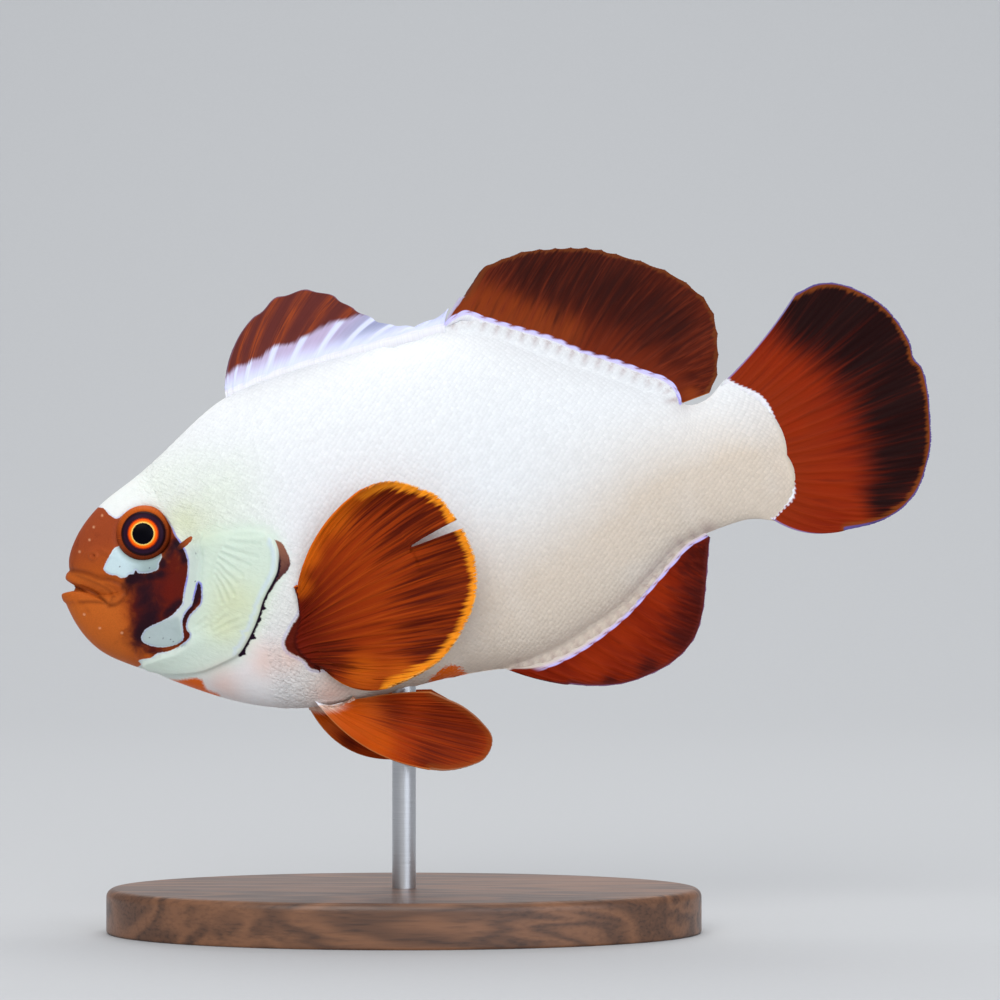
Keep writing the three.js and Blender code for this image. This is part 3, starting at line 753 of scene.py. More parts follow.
def dot_distance(points: Array, dots: Points) -> Array:
    """Distance to the nearest of several dots."""
    return np.min([np.hypot(points[:, 0] - x, points[:, 1] - z) for x, z in dots], axis=0)


def soft_lines(points: Array, lines: SoftLines) -> Array:
    """The strongest of several soft lines at each point: a bell of the distance to each."""
    return np.max([hump(distance_to(points, line), width) for line, width in lines], axis=0)


def soft_discs(points: Array, discs: Discs) -> Array:
    """Soft round patches, each given as x, z and radius, joined as 1 less the product of what is left."""
    left = np.ones(len(points))
    for x, z, radius in discs:
        left = left * (1 - hump(np.hypot(points[:, 0] - x, points[:, 1] - z), radius))
    return 1 - left


@dataclass(frozen=True)
class Markings:
    """The fish's colours and folds as numbers of a point's place on its side.

    A name with _mm holds a depth inside an outline or a distance; the others run from 0 to 1.
    """

    def numbers(self, points: Array) -> dict[str, Array]:
        """The values that the skin's finish reads.

        Args:
            points: rows in the fish's frame.

        Returns:
            One array for each named value.
        """
        seen = seen_from_side(points)
        x, z = seen.T
        patch = depth_inside(seen, UNDER_EYE)
        gill = depth_inside(seen, GILL_OUTLINE)
        rear, rear_run = nearest_on(seen, smooth_curve(GILL_REAR))
        waves = np.sin(rear_run * 2.9) + 0.8 * np.sin(rear_run * 4.7 + 1)
        teeth = 0.26 * np.maximum(waves, 0) ** 1.5 * ramp(-z, 6, 8.5)
        low = ramp(-z, -4, 14)
        low_patch = ramp(-z, 5.4, 7) * fade(x, 14.4, 15.4) * (z > -10.6)
        lips = np.maximum(depth_inside(seen, UPPER_LIP), depth_inside(seen, LOWER_LIP))
        lip_lines = [c.depth * hump(distance_to(seen, c.line), c.width) for c in LIP_LINES]
        face = np.minimum(depth_inside(seen, FACE_OUTLINE), -patch)
        return {
            "face_mm": face,
            "patch_mm": patch,
            # grey: greyer towards the rear of the under-eye patch, and a painted shadow round the eye where
            # its socket shades the patch
            "grey": np.maximum(ramp(x, 8.5, 12), fade(dot_distance(seen, EYE), 4, 5)) * (z > -1),
            "low_patch": np.maximum(low_patch, 0.55 * soft_lines(seen, STRIPE)) * ramp(-face, -0.1, 0.1),
            "cheek": ramp(depth_inside(seen, CHEEK), -2.4, 1.6),
            "cheek_dark": soft_lines(seen, DARK_CHEEK),
            "cheek_red": hump(np.hypot(x - 14.2, (z + 2.7) * 0.8), 1.9),
            "forehead": ramp(z, 0.5, 6.0),
            "chin": ramp(-z, 0.8, 3.0) * fade(x, 6.0, 9.0),
            # lip: a painted highlight of lighter orange on the rolled lips
            "lip": ramp(lips, -0.2, 0.5) * fade(x, 4.5, 8),
            # crease: painted shade along the creases round the lips, where the relief's grooves lie
            "crease": 5 * np.max(lip_lines, axis=0),
            "fringe": ramp(x, 14.0, 17.0) + 0.7 * ramp(z, 6, 8) * ramp(-x, -10, -8),
            "gill_mm": gill,
            "gill_edge_mm": rear - teeth,
            "cream": soft_discs(seen, CREAM),
            "flap_mm": depth_inside(seen, FLAP),
            "flap_low": ramp(-z, -0.3, 4.2),
            "pectoral_mm": depth_inside(seen, PECTORAL_BASE),
            "orange_mm": np.maximum(depth_inside(seen, VENT), depth_inside(seen, ISTHMUS) - 0.4),
            "blush": soft_discs(seen, BLUSH),
            **self.bases(points),
            # warm: a warm beige tone on the lower and rear body, partly the fish's own tint and partly
            # painted shade of the lower flank
            "warm": np.clip(1.05 * low * ramp(x, 20, 45) + 0.95 * ramp(x, 58, 92) * ramp(-z, -12, 2), 0, 1),
            "green": (0.4 + 0.6 * ramp(x, 10, 17)) * fade(x, 22, 34) * ramp(z, -13, -4) * fade(z, 9, 19),
            "pore": hump(dot_distance(seen, PORES), 0.22),
            "speck": hump(dot_distance(seen, SPECKS), 0.14),
            "crinkle": self._crinkled(seen, gill),
        }

    def bases(self, points: Array) -> dict[str, Array]:
        """Distance from the bases of the soft dorsal and anal fins, and short strokes of painted shadow below
        them, one every 1.8 mm.

        Args:
            points: rows in the fish's frame.

        Returns:
            The values base_mm and stroke.
        """
        seen = seen_from_side(points)
        dorsal, dorsal_run = nearest_on(seen, smooth_curve(SOFT_DORSAL_LINE, steps=6))
        anal, anal_run = nearest_on(seen, smooth_curve(ANAL_LINE, steps=6))
        run = np.where(dorsal < anal, dorsal_run, anal_run)
        return {"base_mm": np.minimum(dorsal, anal), "stroke": hump(np.abs((run / 1.8) % 1 - 0.5), 0.17)}

    @staticmethod
    def _crinkled(seen: Array, plate: Array) -> Array:
        """How wrinkled the skin is: most between the eye, the nape and the gill cover.

        Args:
            seen: points as seen from the side.
            plate: depth inside the gill cover.

        Returns:
            Shares from 0 to 1.
        """
        x, z = seen.T
        nape = ramp(x, 10, 16) * fade(x, 24, 36) * ramp(z, 1.5, 4) * fade(z, 9, 21)
        breast = ramp(x, 24, 26) * fade(x, 31, 34) * fade(z, -1, 2) * 0.8
        return np.maximum(np.maximum(nape, breast) * ramp(-plate, -0.3, 0.3), 0.35 * ramp(plate, 0.3, 1.5))

    def relief(self, points: Array) -> Array:
        """How far the skin stands out: rolls, steps and creases of the distance to outlines.

        Args:
            points: rows in the fish's frame.

        Returns:
            Millimetres along the normal.
        """
        seen = seen_from_side(points)
        x, z = seen.T
        mirrored = rows_of(points[:, 0], np.abs(points[:, 1]), points[:, 2])
        eye = np.hypot(points[:, 0] - EYE_X, points[:, 2] - EYE_Z)
        high = -1.7 * fade(eye, 2.9, 3.95) - 0.1 * hump(eye - 4.0, 0.22) + 0.05 * hump(eye - 4.7, 0.6)
        high += 0.24 * quarter_round(depth_inside(seen, UPPER_LIP), 1.5)
        high += 0.24 * quarter_round(depth_inside(seen, LOWER_LIP), 1.0)
        for fold in (*LIP_LINES, *GILL_FOLDS):
            high -= fold.depth * hump(distance_to(seen, fold.line), fold.width)
        plate = depth_inside(seen, GILL_OUTLINE)
        free = np.maximum(ramp(x, 20, 23) * ramp(-z, -4.2, -1.5), ramp(-z, 8, 10.5))
        step = ramp(plate, -0.05, 0.2) * (1 - 0.8 * ramp(plate, 0, 7))
        high += free * (0.48 * step - 0.12 * hump(plate + 0.3, 0.35))
        high += 0.07 * (1 - free) * ramp(plate, -1.5, 1.5)
        for rib in GILL_RIBS:
            off = distance_to(seen, rib.line)
            high -= rib.depth * (hump(off, rib.width) - 0.5 * hump(off - 0.42, 0.2))
        cheek = distance_to(seen, CHEEK_EDGE)
        front = (plate <= 0) * (x > 8) * (x < 20)
        high += 0.24 * front * fade(cheek, 0.1, 3.0) - 0.2 * hump(cheek, 0.2) * fade(z, 1.0, 3.0)
        high += 0.1 * quarter_round(depth_inside(seen, UNDER_EYE), 0.7)
        high += 0.16 * quarter_round(depth_inside(seen, FLAP), 0.5)
        high -= 0.03 * hump(distance_to(seen, LATERAL_LINE), 0.16) * fade(x, 60, 66)
        nostril = dot_distance(seen, NOSTRIL)
        high += 0.26 * hump(nostril - 0.4, 0.26) - 0.3 * hump(nostril, 0.22)
        high += 0.14 * hump(distance_to(seen, NOSTRIL_RIDGE), 0.32)
        pores = dot_distance(seen, PORES)
        high += 0.06 * hump(pores - 0.2, 0.12) - 0.08 * hump(pores, 0.12)
        breast = ramp(-plate, 0.6, 1.4) * ramp(x, 24, 26) * fade(x, 32, 34) * fade(z, -2, 1)
        bumps = np.maximum(0, soft_noise(mirrored, 0.55, 5))
        high += 0.14 * bumps * breast * (z > -16) + 0.1 * bumps * hump(distance_to(seen, NAPE_RIDGE), 0.5)
        high = high + self._wrinkles(mirrored, seen, plate)
        return high + 0.02 * soft_noise(mirrored, 0.5, 9) * ramp(x, 17, 20)

    @staticmethod
    def _wrinkles(points: Array, seen: Array, plate: Array) -> Array:
        """Fine wrinkles: sharp crests of noise that is long along a slant and short across it.

        Args:
            points: rows in the fish's frame, mirrored to one side.
            seen: the same as seen from the side.
            plate: depth inside the gill cover.

        Returns:
            Millimetres along the normal.
        """
        x, z = seen.T
        slant = math.radians(WRINKLE_SLANT)
        along = points[:, 0] * math.cos(slant) + points[:, 2] * math.sin(slant)
        across = points[:, 2] * math.cos(slant) - points[:, 0] * math.sin(slant)
        lines = soft_noise(rows_of(along / 3.2, across, points[:, 1] / 3), 0.42, 11)
        return 0.1 * (1 - np.abs(lines)) ** 3 * Markings._crinkled(seen, plate) * ramp(-plate, -0.3, 0.3)


@dataclass
class Skin:
    """One skin over the whole body, from inside the mouth to the fan's base."""

    body: Body
    markings: Markings
    rows: int = 256
    columns: int = 384
    inset: float = 0.12  # how far under the flesh's surface it lies, for the scales
    head_end: float = 33.0
    head_step: float = 1.0  # spacing of rows on the head against that behind it
    rear_step: float = 4.6
    flank_crowding: float = 0.3
    at: Array = field(init=False)
    points: Array = field(init=False)
    normals: Array = field(init=False)

    def __post_init__(self) -> None:
        """Works out the grid of points and normals, with the relief."""
        fine = np.linspace(0, len(self.body.stations) - 1, 4000)
        line = self.body.lines(fine)
        run = np.append(0, np.cumsum(norm(np.diff(line, axis=0), axis=1)))
        rear = ramp(line[:, 2], self.head_end - 2, self.head_end + 4)
        step = self.head_step + (self.rear_step - self.head_step) * rear
        count = np.append(0, np.cumsum(np.diff(run) / step[1:]))
        self.at = np.interp(np.linspace(0, count[-1], self.rows), count, fine)
        even = np.arange(self.columns) * 2 * math.pi / self.columns
        angle = even + self.flank_crowding * np.sin(2 * even) / 2
        flesh = self.body.surface(self.at[:, None], angle[None, :] + 0 * self.at[:, None])
        outward = grid_normals(flesh, wrap=True)
        outward = outward * np.sign(-outward[self.rows // 2, self.columns // 4, 1])
        stands_out = self.markings.relief(flesh.reshape(-1, 3)).reshape(flesh.shape[:2])
        shown = ramp(self.at, 2.4, 3.2)[:, None]
        self.points = flesh + outward * (stands_out * shown - self.inset)[..., None]
        self.points[:, [0, self.columns // 2], 1] = 0
        self.normals = outward

    def surface(self) -> Surface:
        """The closed skin: the grid, and each end zipped from its left side to its right."""
        index = np.arange(self.rows * self.columns).reshape(self.rows, self.columns)
        flat = self.points.reshape(-1, 3)
        front, back = zipped(index[0]), zipped(index[-1])
        quads = grid_faces(index, wrap=True)[:, ::-1]
        caps = [*front, *(rows[:, ::-1] for rows in back)]
        return Surface(flat, [quads, *caps], self.markings.numbers(flat))


PLATE_POINTS = 16  # of one scale


@dataclass
class ScaleCoat:
    """The scales of the flanks: thin overlapping plates that lie back along the body."""

    skin: Skin
    markings: Markings
    pitch_along: float = 0.8
    head_pitch: float = 0.62  # the same near the head
    pitch_round: float = 0.84
    overlap: float = 1.5  # a scale's length against the pitch
    half_width: float = 0.62  # against the pitch round the body
    lift: float = 0.03
    lean: float = 0.42  # how far its shading leans to its edges, which stands in for its curve
    jitter: float = 0.06
    edge_gap: float = 0.25  # bare strip along the back and the belly
    seed: int = 17
    _along: Array = field(init=False)
    _round: Array = field(init=False)
    _column: Array = field(init=False)
    _edges: Array = field(init=False)

    def __post_init__(self) -> None:
        """Measures the left flank: length along its side, and girth from it to each edge."""
        quarter, half = self.skin.columns // 4, self.skin.columns // 2
        flank = self.skin.points[:, : half + 1]
        step = norm(np.diff(flank[:, quarter], axis=0), axis=1)
        self._along = np.append(0, np.cumsum(step))
        girth = norm(np.diff(flank, axis=1), axis=2)
        girth = np.hstack([np.zeros((len(girth), 1)), np.cumsum(girth, axis=1)])
        girth -= girth[:, quarter : quarter + 1]
        self._round = np.linspace(girth.min(), girth.max(), 360)
        numbers = np.arange(half + 1)
        self._column = np.array([np.interp(self._round, row, numbers) for row in girth])
        self._edges = girth[:, [0, -1]]

    def _row(self, along: Array) -> Array:
        """The skin's row at lengths along the side."""
        return np.interp(along, self._along, np.arange(len(self._along)))

    @staticmethod
    def _blend(table: Array, row: Array, column: Array) -> Array:
        """Reads a table between its rows and columns, from the four values around."""
        i = np.clip(row.astype(int), 0, table.shape[0] - 2)
        j = np.clip(column.astype(int), 0, table.shape[1] - 2)
        shape = row.shape + (1,) * (table.ndim - 2)
        t, u = (row - i).reshape(shape), (column - j).reshape(shape)
        upper = table[i, j] * (1 - u) + table[i, j + 1] * u
        lower = table[i + 1, j] * (1 - u) + table[i + 1, j + 1] * u
        return upper * (1 - t) + lower * t

    def on_skin(self, along: Array, across: Array) -> tuple[Array, Array]:
        """Places and normals on the left flank.

        Args:
            along: lengths along the side.
            across: girth from the side, down the flank.

        Returns:
            Points and unit normals.
        """
        row = self._row(along)
        at = (across - self._round[0]) / (self._round[1] - self._round[0])
        column = self._blend(self._column, row, np.clip(at, 0, len(self._round) - 1))
        return self._blend(self.skin.points, row, column), self._blend(self.skin.normals, row, column)

    def roots(self) -> tuple[Array, Array, Array]:
        """Where scales grow: a staggered lattice, finer near the head, bare on the face and gill cover.

        Returns:
            Rows of length along the side and girth from it, each scale's pitch, and how grown it is.
        """
        fine = np.linspace(0, self._along[-1], 2000)
        side_x = np.interp(fine, self._along, self.skin.points[:, self.skin.columns // 4, 0])
        pitch = self.head_pitch + (self.pitch_along - self.head_pitch) * ramp(side_x, 20, 36)
        count = np.append(0, np.cumsum(np.diff(fine) / pitch[1:]))
        stations = np.interp(np.arange(0, count[-1], 0.5), count, fine)
        rows = np.arange(self._round[0], self._round[-1], self.pitch_round)
        along, across = np.meshgrid(stations, rows, indexing="ij")
        across = across + (np.arange(len(stations)) % 2)[:, None] * self.pitch_round / 2
        along, across = along.reshape(-1), across.reshape(-1)
        random = np.random.default_rng(self.seed)
        along = along + random.uniform(-1, 1, len(along)) * self.jitter
        across = across + random.uniform(-1, 1, len(across)) * self.jitter
        row = self._row(along)
        top, bottom = (np.interp(row, np.arange(len(self._edges)), edge) for edge in self._edges.T)
        held = (across > top + self.edge_gap) & (across < bottom - self.edge_gap)
        along, across = along[held], across[held]
        seen = seen_from_side(self.on_skin(along, across)[0])
        x, z = seen.T
        caudal = smooth_curve(CAUDAL_LINE)[::-1]
        bare = [
            depth_inside(seen, GILL_OUTLINE) + 0.9,
            depth_inside(seen, FLAP) + 0.3,
            depth_inside(seen, PECTORAL_BASE) + 0.2,
            depth_inside(seen, FACE_OUTLINE) + 1.0,
            13 + 0.35 * (14 - z) - x,
            x + 0.7 - np.interp(z, caudal[:, 1], caudal[:, 0]),
            np.where((x < 25) & (z < -10), 1, -4),
        ]
        away = -np.max(bare, axis=0)
        grows = away > 0
        along, across = along[grows], across[grows]
        return rows_of(along, across), np.interp(along, fine, pitch), ramp(away[grows], -1, 4)

    def surface(self, side: Side, rear: bool) -> Surface:
        """The scales of the front or the rear half of one flank.

        A scale is a plate of four columns and four rows. Its rear edge is an arc, its crown rises from under
        the skin at the root to the lift at the rear, and a wall and a floor close it.

        Args:
            side: which flank.
            rear: whether it is the rear half.

        Returns:
            The joined scales, each with its own patch of the flank on the map OFBake.
        """
        roots, pitch, grown = self.roots()
        random = np.random.default_rng(self.seed + 1)
        size = grown * 0.35 + 0.65 + random.uniform(-1, 1, len(roots)) * self.jitter
        lift = self.lift * (0.35 + 0.65 * grown) * random.uniform(0.7, 1.3, len(roots))
        tint = random.uniform(-1, 1, len(roots))
        half = (roots[:, 0] > np.median(roots[:, 0])) == rear
        roots, pitch, size, lift, tint, grown = (v[half] for v in (roots, pitch, size, lift, tint, grown))
        q, p = np.meshgrid([-1, -0.4, 0.4, 1], [0, 0.5, 1, 1])
        crown, beside = np.array([-0.8, 0.35, 0.9, -0.5]), np.array([1, 0, 0.4, 1])
        height = crown[:, None] * np.where(np.abs(q) == 1, beside[:, None], 1)
        p = p * (1 - 0.34 * q**2)
        wide = q * np.array([0.7, 1, 0.8, 0.8])[:, None]
        # rim: 0 at the root and 1 at the rear edge; it sets the painted shade along each scale's rear edge
        rim = np.array([0, 0.2, 1, 1])[:, None] + 0 * q
        p, wide, height, rim = (v.reshape(-1) for v in (p, wide, height, rim))
        along = roots[:, :1] + p * (size * pitch * self.overlap)[:, None]
        girth = roots[:, 1:] + wide * (size * self.pitch_round * self.half_width)[:, None]
        spots, normals = self.on_skin(along.reshape(-1), girth.reshape(-1))
        points = spots + normals * (height * lift[:, None]).reshape(-1, 1)
        here = self.on_skin(roots[:, 0], roots[:, 1])[0]
        ahead = self.on_skin(roots[:, 0] + 0.1, roots[:, 1])[0] - here
        aside = self.on_skin(roots[:, 0], roots[:, 1] + 0.1)[0] - here
        lean = self.lean * (np.array([-0.5, 0, 0.7, 1.4])[:, None] + 0 * q).reshape(-1)
        tilt = ahead[:, None] * lean[:, None] + aside[:, None] * (self.lean * wide)[:, None]
        soft = normals + 10 * tilt.reshape(-1, 3) * np.repeat(0.4 + 0.6 * grown, PLATE_POINTS)[:, None]
        grid = np.arange(PLATE_POINTS).reshape(4, 4)
        floor = rows_of(grid[0, :-1], grid[0, 1:], grid[3, 1:], grid[3, :-1])
        flanks = np.array([grid[:, 0][[0, 3, 2, 1]], grid[:, 3]])
        faces = np.vstack([grid_faces(grid)[:, ::-1], floor, flanks])
        starts = np.arange(len(roots))[:, None, None] * PLATE_POINTS
        faces = (faces[None] + starts).reshape(-1, 4)
        if side is Side.RIGHT:
            points, soft = points * [1, -1, 1], soft * [1, -1, 1]
            faces = faces[:, ::-1]
        marks = self.markings.numbers(points[9::PLATE_POINTS])
        values = {name: np.repeat(value, PLATE_POINTS) for name, value in marks.items()}
        values |= self.markings.bases(points)
        near = np.flatnonzero(values["pectoral_mm"] > -1.5)
        values["pectoral_mm"][near] = depth_inside(seen_from_side(points[near]), PECTORAL_BASE)
        values["scale_rim"] = np.tile(rim, len(roots))
        values["scale_tint"] = np.repeat(tint, PLATE_POINTS)
        span = np.array([self._along[-1], self._round[-1] - self._round[0]])
        middle = (roots - [0, self._round[0]]) / span
        patch = rows_of(p - 0.5, wide / 2) * 0.003
        unwrap = (middle[:, None, :] + patch[None]).reshape(-1, 2)
        return Surface(points, [faces], values, {"OFBake": unwrap}, soft)


# ---- fins
@dataclass(frozen=True)
class FinShape:
    """A fin's root, the margin that its ray tips reach, and its rays.

    Root and margin run from front to back, or from top to bottom. knots pair a share of the root with a
    share of the margin; in a spiny fin each pair is a spine. curl says how far the first, the middle and
    the last rays bow, against their length.
    """

    name: str
    root: Points
    margin: Points
    rays: int
    knots: Points = ((0, 0), (1, 1))
    curl: tuple[float, float, float] = (0.0, 0.0, 0.0)
    dusk: Discs = ()
    glow: Discs = ()
    spiny: bool = False
    splits: Pair = (0.32, 0.66)  # where along its length a ray parts in two, and again
    per_ray: int = 16
    rows: int = 60
    tuck: float = 1.2  # how far the root goes into the body
    root_half: float = 0.2
    fillet: float = 0.0  # how much wider its foot inside the body is, all but at the rear
    membrane_half: float = 0.1
    ray_half: float = 0.1
    dip: float = 0.1  # of the margin between two rays
    fray: float = 0.06  # of the margin from column to column
    wave: float = 0.25
    bead: float = 0.0  # how far the sheath's edge stands out
    beads: int = 1  # of the sheath's edge from ray to ray
    bead_mm: float = 0.21


@dataclass
class Fin:
    """A fin as a thick sheet with raised rays."""

    shape: FinShape

    def _ray_distance(self, ray: Array, along: Array) -> Array:
        """Distance in ray spacings to the nearest branch, where each ray parts in two and again."""
        off = ray - np.round(ray)
        if self.shape.spiny:
            return np.abs(off)
        first, second = self.shape.splits
        apart = 0.25 * ramp(along, first, first + 0.3)
        again = 0.125 * ramp(along, second, second + 0.25)
        branches = [np.abs(off - s * apart - t * again) for s in (-1, 1) for t in (-1, 1)]
        return np.min(branches, axis=0)

    def _sheet(self) -> tuple[Array, Array, Array]:
        """The fin's flat sheet.

        The point at ray u and fraction v lies v of the way straight from the root to the margin, moved across
        by curl times 4 v (1 - v) of that way. A foot with a fillet goes straight down. Between ray tips the
        margin dips by a sine, and it is frayed at random from column to column.

        Returns:
            Places in columns from root to margin, their ray coordinates and their fractions.
        """
        shape = self.shape
        ray = np.arange(shape.rays * shape.per_ray + 1) / shape.per_ray
        share, knots = ray / shape.rays, np.array(shape.knots, float)
        if shape.spiny:
            share = np.interp(ray, np.arange(len(knots)), knots[:, 0])
        start = along_curve(smooth_curve(shape.root, steps=24), share)
        tip = along_curve(smooth_curve(shape.margin, steps=24), np.interp(share, *knots.T))
        reach = norm(tip - start, axis=1)
        torn = np.random.default_rng(shape.rays).uniform(0, 1, len(ray)) * (np.arange(len(ray)) % 2)
        dips = shape.dip * np.abs(np.sin(np.pi * ray)) ** 0.8 + shape.fray * torn
        dips = dips * ramp(ray, 0, 0.5) * ramp(shape.rays - ray, 0, 0.5)
        along = np.tile(1 - (1 - np.linspace(0, 1, shape.rows)) ** 1.15, (len(ray), 1))
        along = np.hstack([-(shape.tuck / reach)[:, None], along])
        way = ((tip - start) * (1 - dips / reach)[:, None])[:, None, :]
        first, middle, last = shape.curl
        curl = middle + (first - middle) * (1 - share) ** 4 + (last - middle) * share**4
        bend = curl[:, None] * 4 * along * (1 - np.abs(along))
        flat = start[:, None, :] + way * along[..., None]
        flat = flat + rows_of(-way[..., 1], way[..., 0]) * bend[..., None]
        if shape.fillet:
            flat[:, 0] = start - [0, shape.tuck]
        return flat, np.tile(ray[:, None], (1, along.shape[1])), along

    def surface(self, out: Offset, slit: Points | None = None, white: Points | None = None) -> Surface:
        """Builds the fin.

        Args:
            out: gives y from a point's x, z and fraction along its ray.
            slit: where the fin is torn, as the slit's inner end and its two outer corners.
            white: an outline inside which the fin is white, like the body.

        Returns:
            The closed fin with its values, and the map Rays of ray and length along it.
        """
        shape = self.shape
        flat, ray, along = self._sheet()
        index, cut = np.arange(ray.size).reshape(ray.shape), None
        if slit is not None:
            flat, ray, along, index, cut = self._torn(flat, ray, along, slit)
        y = out(flat[..., 0], flat[..., 1], np.maximum(along, 0))
        y = y + shape.wave * ramp(along, 0.1, 1) * np.sin(ray * 1.7) * np.sin(2.2 * along + ray * 0.6)
        middle = rows_of(flat[..., 0], y, flat[..., 1])
        away = self._ray_distance(ray, along)
        width = 0.17 if shape.spiny else 0.2 - 0.1 * along
        spots = flat.reshape(-1, 2)
        edge = distance_to(spots, shape.margin).reshape(ray.shape)
        base = distance_to(spots, shape.root).reshape(ray.shape) * np.where(along < 0, -1, 1)
        side = np.minimum(*(norm(flat - flat[k], axis=-1) for k in (0, -1)))
        slant = (ray * shape.beads) % 1 - 0.5
        sheath = hump(base - 0.1 - 0.06 * slant, shape.bead_mm) * (0.82 + 0.18 * np.cos(2 * np.pi * slant))
        half = shape.membrane_half + shape.ray_half * hump(away, width) * (1 - 0.45 * along)
        half += shape.root_half * hump(base, 1.2) + shape.bead * sheath
        if shape.fillet:
            half[:, 0] = half[:, 1] + shape.fillet * fade(ray[:, 0] / shape.rays, 0.7, 0.95)
        half = np.minimum(half, 0.07 + 0.35 * np.minimum(edge, side) + 3 * (along < 0.02))
        whiteness = depth_inside(spots, white).reshape(ray.shape) if white else np.full(ray.shape, -4.0)
        values = {
            "ray": hump(away, width * 1.2),
            "edge_mm": edge,
            "side_mm": side,
            "root_mm": base,
            "sheath": sheath,
            "ray_number": ray,
            "white_mm": whiteness,
            "dusk": soft_discs(spots, shape.dusk).reshape(ray.shape),
            "glow": soft_discs(spots, shape.glow).reshape(ray.shape),
        }
        maps = {"Rays": rows_of(ray / shape.rays, np.maximum(along, 0))}
        return thick_sheet(middle, half, index, cut, values, maps)

    def _torn(self, flat: Array, ray: Array, along: Array, slit: Points) -> tuple[Array, ...]:
        """Opens a slit between two rays.

        The column nearest the slit is doubled beyond its inner end. The copies are drawn apart to the slit's
        edges, and their neighbours less and less.

        Args:
            flat: the sheet's places.
            ray: its ray coordinates.
            along: its fractions from root to margin.
            slit: the inner end and the two outer corners.

        Returns:
            Places, ray coordinates, fractions, point numbers, and the first column beyond the slit.
        """
        inner, low, high = (np.array(corner) for corner in slit)
        outer = (low + high) / 2
        at = int(np.argmin(norm(flat[:, -1] - outer, axis=1)))
        gap = norm(flat[at] - inner, axis=1)
        split = int(np.argmin(gap))
        reach = (gap / norm(outer - inner)) ** 0.6
        open_by = np.where(np.arange(flat.shape[1]) > split, reach, 0)[:, None] * (high - low) / 2
        order = np.arange(flat.shape[0])
        order = np.concatenate([order[: at + 1], order[at:]])
        sign = np.where(np.arange(len(order)) <= at, 1, -1)
        spread = 2.2 * self.shape.per_ray
        near = np.maximum(0, 1 - np.abs(np.arange(len(order)) - at - 0.5) / spread) * sign
        above = 1 if flat[0, -1, 1] > flat[-1, -1, 1] else -1
        flat = flat[order] + above * near[:, None, None] * open_by[None]
        index = np.arange(len(order) * flat.shape[1]).reshape(len(order), -1)
        index[at + 1, : split + 1] = index[at, : split + 1]
        return flat, ray[order], along[order], index, at + 1


SPINY_DORSAL = FinShape(
    "dorsal_fin_spiny",
    root=((26.6, 21.9), (34, 23.3), (44, 24.3), (57.3, 25.2)),
    margin=(
        (26.9, 22.9), (27.7, 25.5), (28.6, 27.2), (30.1, 29.3), (32.1, 31), (33.6, 31.7), (35.5, 33.1),
        (37.2, 33.2), (39.6, 33.5), (41.2, 32.9), (43.2, 32.1), (44.1, 31.1), (45.3, 30.2), (46.2, 29.2),
        (47.5, 28.4), (48.5, 27.4), (49.7, 26.9), (51, 26.3), (52.4, 26.1), (53.5, 25.6), (54.7, 26.05),
        (56.4, 26.3), (58.3, 27.3),
    ),
    rays=11,
    knots=(
        (0, 0), (0.013, 0.125), (0.04, 0.256), (0.093, 0.363), (0.193, 0.47), (0.3, 0.569), (0.42, 0.642),
        (0.533, 0.718), (0.64, 0.786), (0.767, 0.862), (0.873, 0.924), (1, 1),
    ),
    curl=(0.05, 0.05, 0.05), spiny=True, per_ray=22, dip=0.12, fray=0.0, wave=0.15, ray_half=0.13,
    tuck=1.4, fillet=1.0,
)
SOFT_DORSAL = FinShape(
    "dorsal_fin_soft",
    root=SOFT_DORSAL_LINE,
    margin=(
        (59.9, 28.4), (60.8, 28.5), (62.2, 30), (64.2, 32), (65.4, 32.2), (67.4, 32.6), (70, 32.9),
        (73, 32.6), (76, 32.2), (79, 31.5), (82, 30.1), (85.8, 28.1), (88.5, 26.3), (90.8, 24.1),
        (92.6, 21.6), (93.2, 19.6), (93.2, 17.4), (92.6, 13.6), (91.9, 11.2), (90.5, 9.4),
    ),
    rays=18, curl=(0.02, 0.03, 0), dip=0.22, bead=0.08,
    knots=((0, 0), (0.1, 0.15), (0.2, 0.25), (0.5, 0.47), (0.69, 0.7), (1, 1)),
    dusk=((70, 30, 4), (76, 28.5, 6), (82, 25, 7), (87, 20, 4.5)),
    glow=(
        (60.4, 27.4, 3.6), (63.6, 26.2, 3.4), (66.8, 24.8, 3), (70, 23.2, 2.8), (73.4, 21.4, 2.6),
        (88, 9.6, 1.6),
    ),
)
CAUDAL = FinShape(
    "caudal_fin",
    root=CAUDAL_LINE,
    margin=(
        (104.4, 20.3), (107.6, 21.1), (110.4, 20.6), (113, 19.1), (115.6, 16.7), (117.4, 13.8),
        (118.4, 10.6), (118.5, 8.7), (119.3, 7.4), (119.5, 4.5), (119.2, 1.2), (118.6, -2.8), (117.4, -5.8),
        (116, -8.3), (114, -10.2), (111.2, -11.6), (108.4, -12.1), (105, -12.05),
    ),
    rays=19, rows=72, beads=2, bead_mm=0.16, curl=(-0.03, 0, -0.12), wave=0.3, root_half=0.05,
    fray=0.14, dip=0.08,
    dusk=(
        (105, 18.6, 5.4), (109, 17.6, 6.6), (112.8, 14.2, 7.4), (115, 9.5, 7), (116, 4, 6.4),
        (115.6, -1.6, 6), (114, -6, 4.4), (110.6, -9.6, 3),
    ),
    glow=((101.5, 12, 3.2), (104, 9, 3), (104, -6, 4), (108, -10.5, 2.4), (101, 3, 2)),
)
